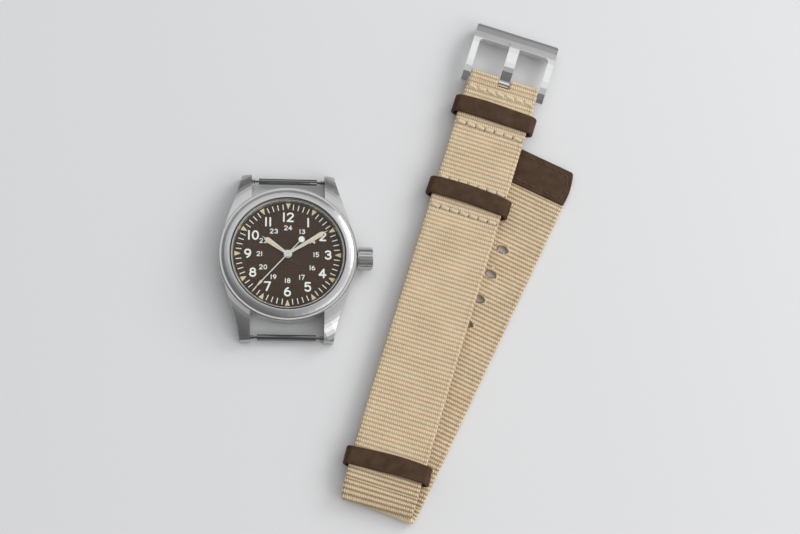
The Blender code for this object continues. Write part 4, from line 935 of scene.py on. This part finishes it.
def make_dial_print():
    """The minute ticks, and a cream triangle at every hour."""
    low, high = DIAL_TOP + 0.002, DIAL_TOP + PRINT_THICK
    tick_shape = (*TICK_RADII, TICK_WIDTH, TICK_WIDTH)
    ticks = [slab(bar_outline(6 * minute, *tick_shape), low, high) for minute in range(60) if minute % 5]
    points, faces = merge(ticks)
    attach(add_object("minute_ticks", points, faces, "print", smooth=False), "head")
    marker_shape = (*MARKER_RADII, MARKER_POINT, MARKER_WIDTH)
    markers = [slab(bar_outline(30 * hour, *marker_shape), low, high + 0.05) for hour in range(12)]
    points, faces = merge(markers)
    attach(add_object("hour_markers", points, faces, "lume", smooth=False), "head")


def arc(centre, radii, start, end, count=18):
    """Points along an ellipse, in degrees anticlockwise from +x."""
    turn = np.radians(np.linspace(start, end, count))
    return np.stack([centre[0] + radii[0] * np.cos(turn), centre[1] + radii[1] * np.sin(turn)], -1)


def digit_strokes(digit):
    """Centre lines of a digit one unit tall; its strokes meet with round ends."""
    high, wide = 0.5 - STROKE / 2, 0.27
    bowl = (wide, 0.24)
    low_centre, top_centre = (0.0, bowl[1] - high), (0.0, high - 0.21)
    tail = arc((wide + 0.06, -0.12), (2 * wide + 0.06, high + 0.14), 180, 118)
    six = [arc(low_centre, bowl, 0, 360), tail]
    strokes = {
        "0": [arc((0, 0), (wide, high), 0, 360, 30)],
        "1": [[(0, -high), (0, high)]],
        "2": [
            np.vstack([arc(top_centre, (wide, 0.21), 165, -40), [(-wide, -high)]]),
            [(-wide, -high), (wide, -high)],
        ],
        "3": [arc(top_centre, (wide - 0.03, 0.19), 155, -90), arc(low_centre, (wide, 0.225), 90, -155)],
        "4": [
            [(0.12, -high), (0.12, high)],
            [(0.12, high), (-0.31, -0.16)],
            [(-0.31, -0.16), (0.31, -0.16)],
        ],
        "5": [
            [(0.22, high), (-0.2, high)],
            [(-0.2, high), (-0.24, 0.04)],
            arc((-0.01, -0.15), (wide, high - 0.15), 140, -145),
        ],
        "6": six,
        "7": [[(-wide, high), (wide, high)], [(wide, high), (-0.08, -high)]],
        "8": [arc(top_centre, (wide - 0.04, 0.19), 0, 360), arc(low_centre, (wide, 0.225), 0, 360)],
        "9": [-np.asarray(line) for line in six],
    }
    return [np.asarray(line, float) for line in strokes[digit]]


def brush(line, width):
    """A flat stroke of the given width along a line, with round ends unless it closes on itself."""
    away = np.gradient(line, axis=0)
    away /= np.linalg.norm(away, axis=1)[:, None]
    side = np.stack([away[:, 1], -away[:, 0]], -1) * width / 2
    angles = np.degrees(np.arctan2(side[:, 1], side[:, 0]))
    radii = (width / 2, width / 2)
    end_cap = arc(line[-1], radii, angles[-1], angles[-1] + 180, 8)
    start_cap = arc(line[0], radii, angles[0] + 180, angles[0] + 360, 8)
    rings = np.concatenate([(line - side)[:, None], (line + side)[:, None]], 1).reshape(-1, 2)
    faces = [[2 * i, 2 * i + 1, 2 * i + 3, 2 * i + 2] for i in range(len(line) - 1)]
    if np.allclose(line[0], line[-1]):
        return rings, faces
    points = np.vstack([rings, end_cap, start_cap])
    faces.append([len(rings) + i for i in range(8)])
    faces.append([len(rings) + 8 + i for i in range(8)])
    return points, faces


def numeral(text, height):
    """A printed number, centred, as strokes that each lie a touch above the one before."""
    gaps = {"1": 0.42}
    widths = [gaps.get(digit, 0.86) for digit in text]
    start = -sum(widths) / 2
    parts = []
    for digit, width in zip(text, widths):
        shift = np.array([start + width / 2, 0.0])
        for i, line in enumerate(digit_strokes(digit)):
            flat, faces = brush((line + shift) * height, STROKE * height)
            parts.append((np.column_stack([flat, np.full(len(flat), i * STROKE_STEP)]), faces))
        start += width
    return merge(parts)


def make_numerals():
    """Hours 1 to 12 in large figures, and 13 to 24 in small ones inside them."""
    level = DIAL_TOP + PRINT_THICK
    parts = []
    for first, radii, height in ((1, HOURS_RADII, HOURS_HEIGHT), (13, SMALL_RADII, SMALL_HEIGHT)):
        for i in range(12):
            points, faces = numeral(str(first + i), height)
            centre = dial_point(1.0, 30 * (i + 1)) * radii
            parts.append((points + (*centre, level), faces))
    points, faces = merge(parts)
    made = add_object("dial_numerals", points, faces, "print", smooth=False)
    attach(made, "head")


def make_lume():
    """The cream filling of the hands, and the second hand's white disc."""
    shapes = (
        ("hour", "hour_arbor", [(0.17, 1.7), (0.55, 6.85), (0.1, 7.45)]),
        ("minute", "minute_arbor", [(0.13, 1.6), (0.48, 10.7), (0.08, 11.3)]),
        ("second", "seconds_arbor", [(0.08, 10.3), (0.28, 10.9), (0.06, 12.4)]),
    )
    for word, body, right in shapes:
        outline = right + [(-x, y) for x, y in right[::-1]]
        lay_on_hand(f"{word}_lume", f"{word}_hand", body, outline, "lume")
    disc = arc((0.0, -5.5), (0.8, 0.8), 0, 345, 24)
    lay_on_hand("second_disc", "second_hand", "seconds_arbor", disc, "print")


def lay_on_hand(name, hand, body, outline, material):
    """A thin layer on top of a hand; the outline lies along +Y."""
    along = np.array(unit(HAND_HEADINGS[hand]))
    across = np.array([along[1], -along[0]])
    placed = [across * x + along * y for x, y in outline]
    level = span(hand)[1]
    points, faces = slab(placed, level, level + LUME_THICK)
    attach(add_object(name, points, faces, material, smooth=False), body)


# ---------------------------------------------------------------- metal


FINISHES = {
    "case": ("case_middle", "barrel_bridge", "train_bridge", "balance_cock", "pallet_bridge", "crown"),
    "turned": ("bezel", "case_back"),
    "polished": (
        "cannon_pinion", "escape_wheel", "ratchet_wheel", "barrel_arbor", "crown_wheel", "click",
        "pallet_fork", "crown_tube", "winding_pinion", "winding_stem", "buckle_bar",
    ),
    "bar": tuple(name for name in NODES if name.startswith("spring_bar")),
    "brass": (
        "main_plate", "center_wheel", "third_wheel", "fourth_wheel", "minute_wheel", "hour_wheel",
        "barrel_drum", "barrel_cover", "balance_wheel",
    ),
    "blued": ("mainspring", "hairspring", *(name for name in NODES if "_screw" in name)),
    "hands": ("hour_hand", "minute_hand", "second_hand"),
    "buckle": ("buckle_frame", "buckle_tongue"),
    "holder": ("movement_ring",),
    "rehaut": ("rehaut_ring",),
    "glass": ("crystal",),
    "rubber": ("crystal_gasket", "case_back_gasket"),
    "dial": ("dial",),
}
EDGES = {"case_middle": 0.22, "bezel": 0.06, "crown": 0.12, "buckle_frame": 0.25, "buckle_tongue": 0.25}


def dress_nodes():
    """Finish for every CAD node, the inside ones included, and rounded edges on the outer metal."""
    for material, names in FINISHES.items():
        for name in names:
            dress(name, material)
    for name, width in EDGES.items():
        soften(name, width, 3)


# ---------------------------------------------------------------- camera, light and floor


def make_camera():
    """The viewing angle: slightly from the 6 o'clock side and the left, from 600 mm away."""
    tilt, side, roll = (math.radians(v) for v in (CAMERA_TILT, CAMERA_SIDE, CAMERA_ROLL))
    level = math.cos(tilt)
    back = Vector((math.sin(side) * level, -math.sin(tilt), level * math.cos(side))).normalized()
    right = Vector((0, 1, 0)).cross(back).normalized()
    up = back.cross(right)
    turned_right = right * math.cos(roll) + up * math.sin(roll)
    turned_up = up * math.cos(roll) - right * math.sin(roll)
    data = bpy.data.cameras.new("camera")
    data.lens = CAMERA_LENS
    data.sensor_width = 36.0
    data.clip_start, data.clip_end = 0.05, 10.0
    camera = bpy.data.objects.new("camera", data)
    bpy.context.scene.collection.objects.link(camera)
    place = (Vector(CAMERA_TARGET) + back * CAMERA_DISTANCE) * MM
    axes = Matrix((turned_right, turned_up, back)).transposed().to_4x4()
    camera.matrix_world = Matrix.Translation(place) @ axes
    bpy.context.scene.camera = camera


def area_light(name, place_mm, aim_mm, size_mm, power):
    """A rectangular lamp that points at a place."""
    data = bpy.data.lights.new(name, "AREA")
    data.shape = "RECTANGLE"
    data.size, data.size_y = size_mm[0] * MM, size_mm[1] * MM
    data.energy = power
    lamp = bpy.data.objects.new(name, data)
    bpy.context.scene.collection.objects.link(lamp)
    place, aim = Vector(place_mm) * MM, Vector(aim_mm) * MM
    lamp.location = place
    lamp.rotation_mode = "QUATERNION"
    lamp.rotation_quaternion = (place - aim).to_track_quat("Z", "Y")


def studio_sky(world):
    """A pale sky with a panel overhead and a brighter side towards +X.

    Reflections see a darker room with two narrower panels, which gives the steel its contrast.
    The camera sees a plain backdrop past the floor.
    """
    world.use_nodes = True
    tree = world.node_tree
    direction = tree.nodes.new("ShaderNodeTexCoord").outputs["Generated"]

    def toward(aim, low, high, strength):
        """Brightness that grows from 0 to strength as the view turns towards aim."""
        dot = tree.nodes.new("ShaderNodeVectorMath")
        dot.operation = "DOT_PRODUCT"
        tree.links.new(direction, dot.inputs[0])
        dot.inputs[1].default_value = Vector(aim).normalized()
        spread = tree.nodes.new("ShaderNodeMapRange")
        spread.interpolation_type = "SMOOTHSTEP"
        for name, value in (("From Min", low), ("From Max", high), ("To Min", 0.0), ("To Max", strength)):
            spread.inputs[name].default_value = value
        tree.links.new(dot.outputs["Value"], spread.inputs["Value"])
        return spread.outputs["Result"]

    def add(a, b):
        total = tree.nodes.new("ShaderNodeMath")
        total.operation = "ADD"
        tree.links.new(a, total.inputs[0])
        tree.links.new(b, total.inputs[1])
        return total.outputs[0]

    panels = add(toward(PANEL_AIM, 0.80, 0.98, SKY_PANEL), toward(SIDE_AIM, 0.25, 0.90, SKY_SIDE))
    lit = add(panels, toward((0.0, 0.0, 1.0), -0.6, 0.9, SKY_BASE))
    overhead = toward(SHINE_PANEL_AIM, 0.80, 0.97, SHINE_PANEL)
    beside = toward(SHINE_SIDE_AIM, 0.70, 0.97, SHINE_SIDE)
    mirrored = add(add(overhead, beside), toward((0.0, 0.0, 1.0), -0.6, 0.9, SHINE_BASE))
    path = tree.nodes.new("ShaderNodeLightPath")

    def choose(ray, usual):
        """A switch that passes the usual strength on, except to one kind of ray."""
        switch = tree.nodes.new("ShaderNodeMix")
        tree.links.new(path.outputs[ray], switch.inputs["Factor"])
        tree.links.new(usual, switch.inputs["A"])
        return switch

    for_shine = choose("Is Glossy Ray", lit)
    tree.links.new(mirrored, for_shine.inputs["B"])
    for_camera = choose("Is Camera Ray", for_shine.outputs["Result"])
    for_camera.inputs["B"].default_value = BACKDROP
    background = tree.nodes["Background"]
    background.inputs["Color"].default_value = (0.985, 0.99, 1.0, 1.0)
    tree.links.new(for_camera.outputs["Result"], background.inputs["Strength"])


def make_studio():
    """A pale floor, a soft key light from the upper right and a weak fill."""
    signs = ((-1, -1), (1, -1), (1, 1), (-1, 1))
    corners = [(x * FLOOR_HALF, y * FLOOR_HALF, FLOOR_LEVEL) for x, y in signs]
    floor = add_object("floor", corners, [(0, 1, 2, 3)], "floor", smooth=False)
    area_light("key", KEY_PLACE, LIGHT_AIM, KEY_SIZE, KEY_POWER)
    area_light("fill", FILL_PLACE, LIGHT_AIM, FILL_SIZE, FILL_POWER)
    world = bpy.data.worlds.new("studio")
    studio_sky(world)
    bpy.context.scene.world = world
    bpy.context.scene.view_settings.view_transform = "Standard"


dress_nodes()
make_upper()
make_tail()
make_bend()
for keeper, (lean, aside) in enumerate(zip(KEEPER_TILTS, KEEPER_SHIFTS), 1):
    make_keeper(keeper, lean, aside)
make_strap_stitches()
make_tip()
make_dial_print()
make_numerals()
make_lume()
make_camera()
make_studio()
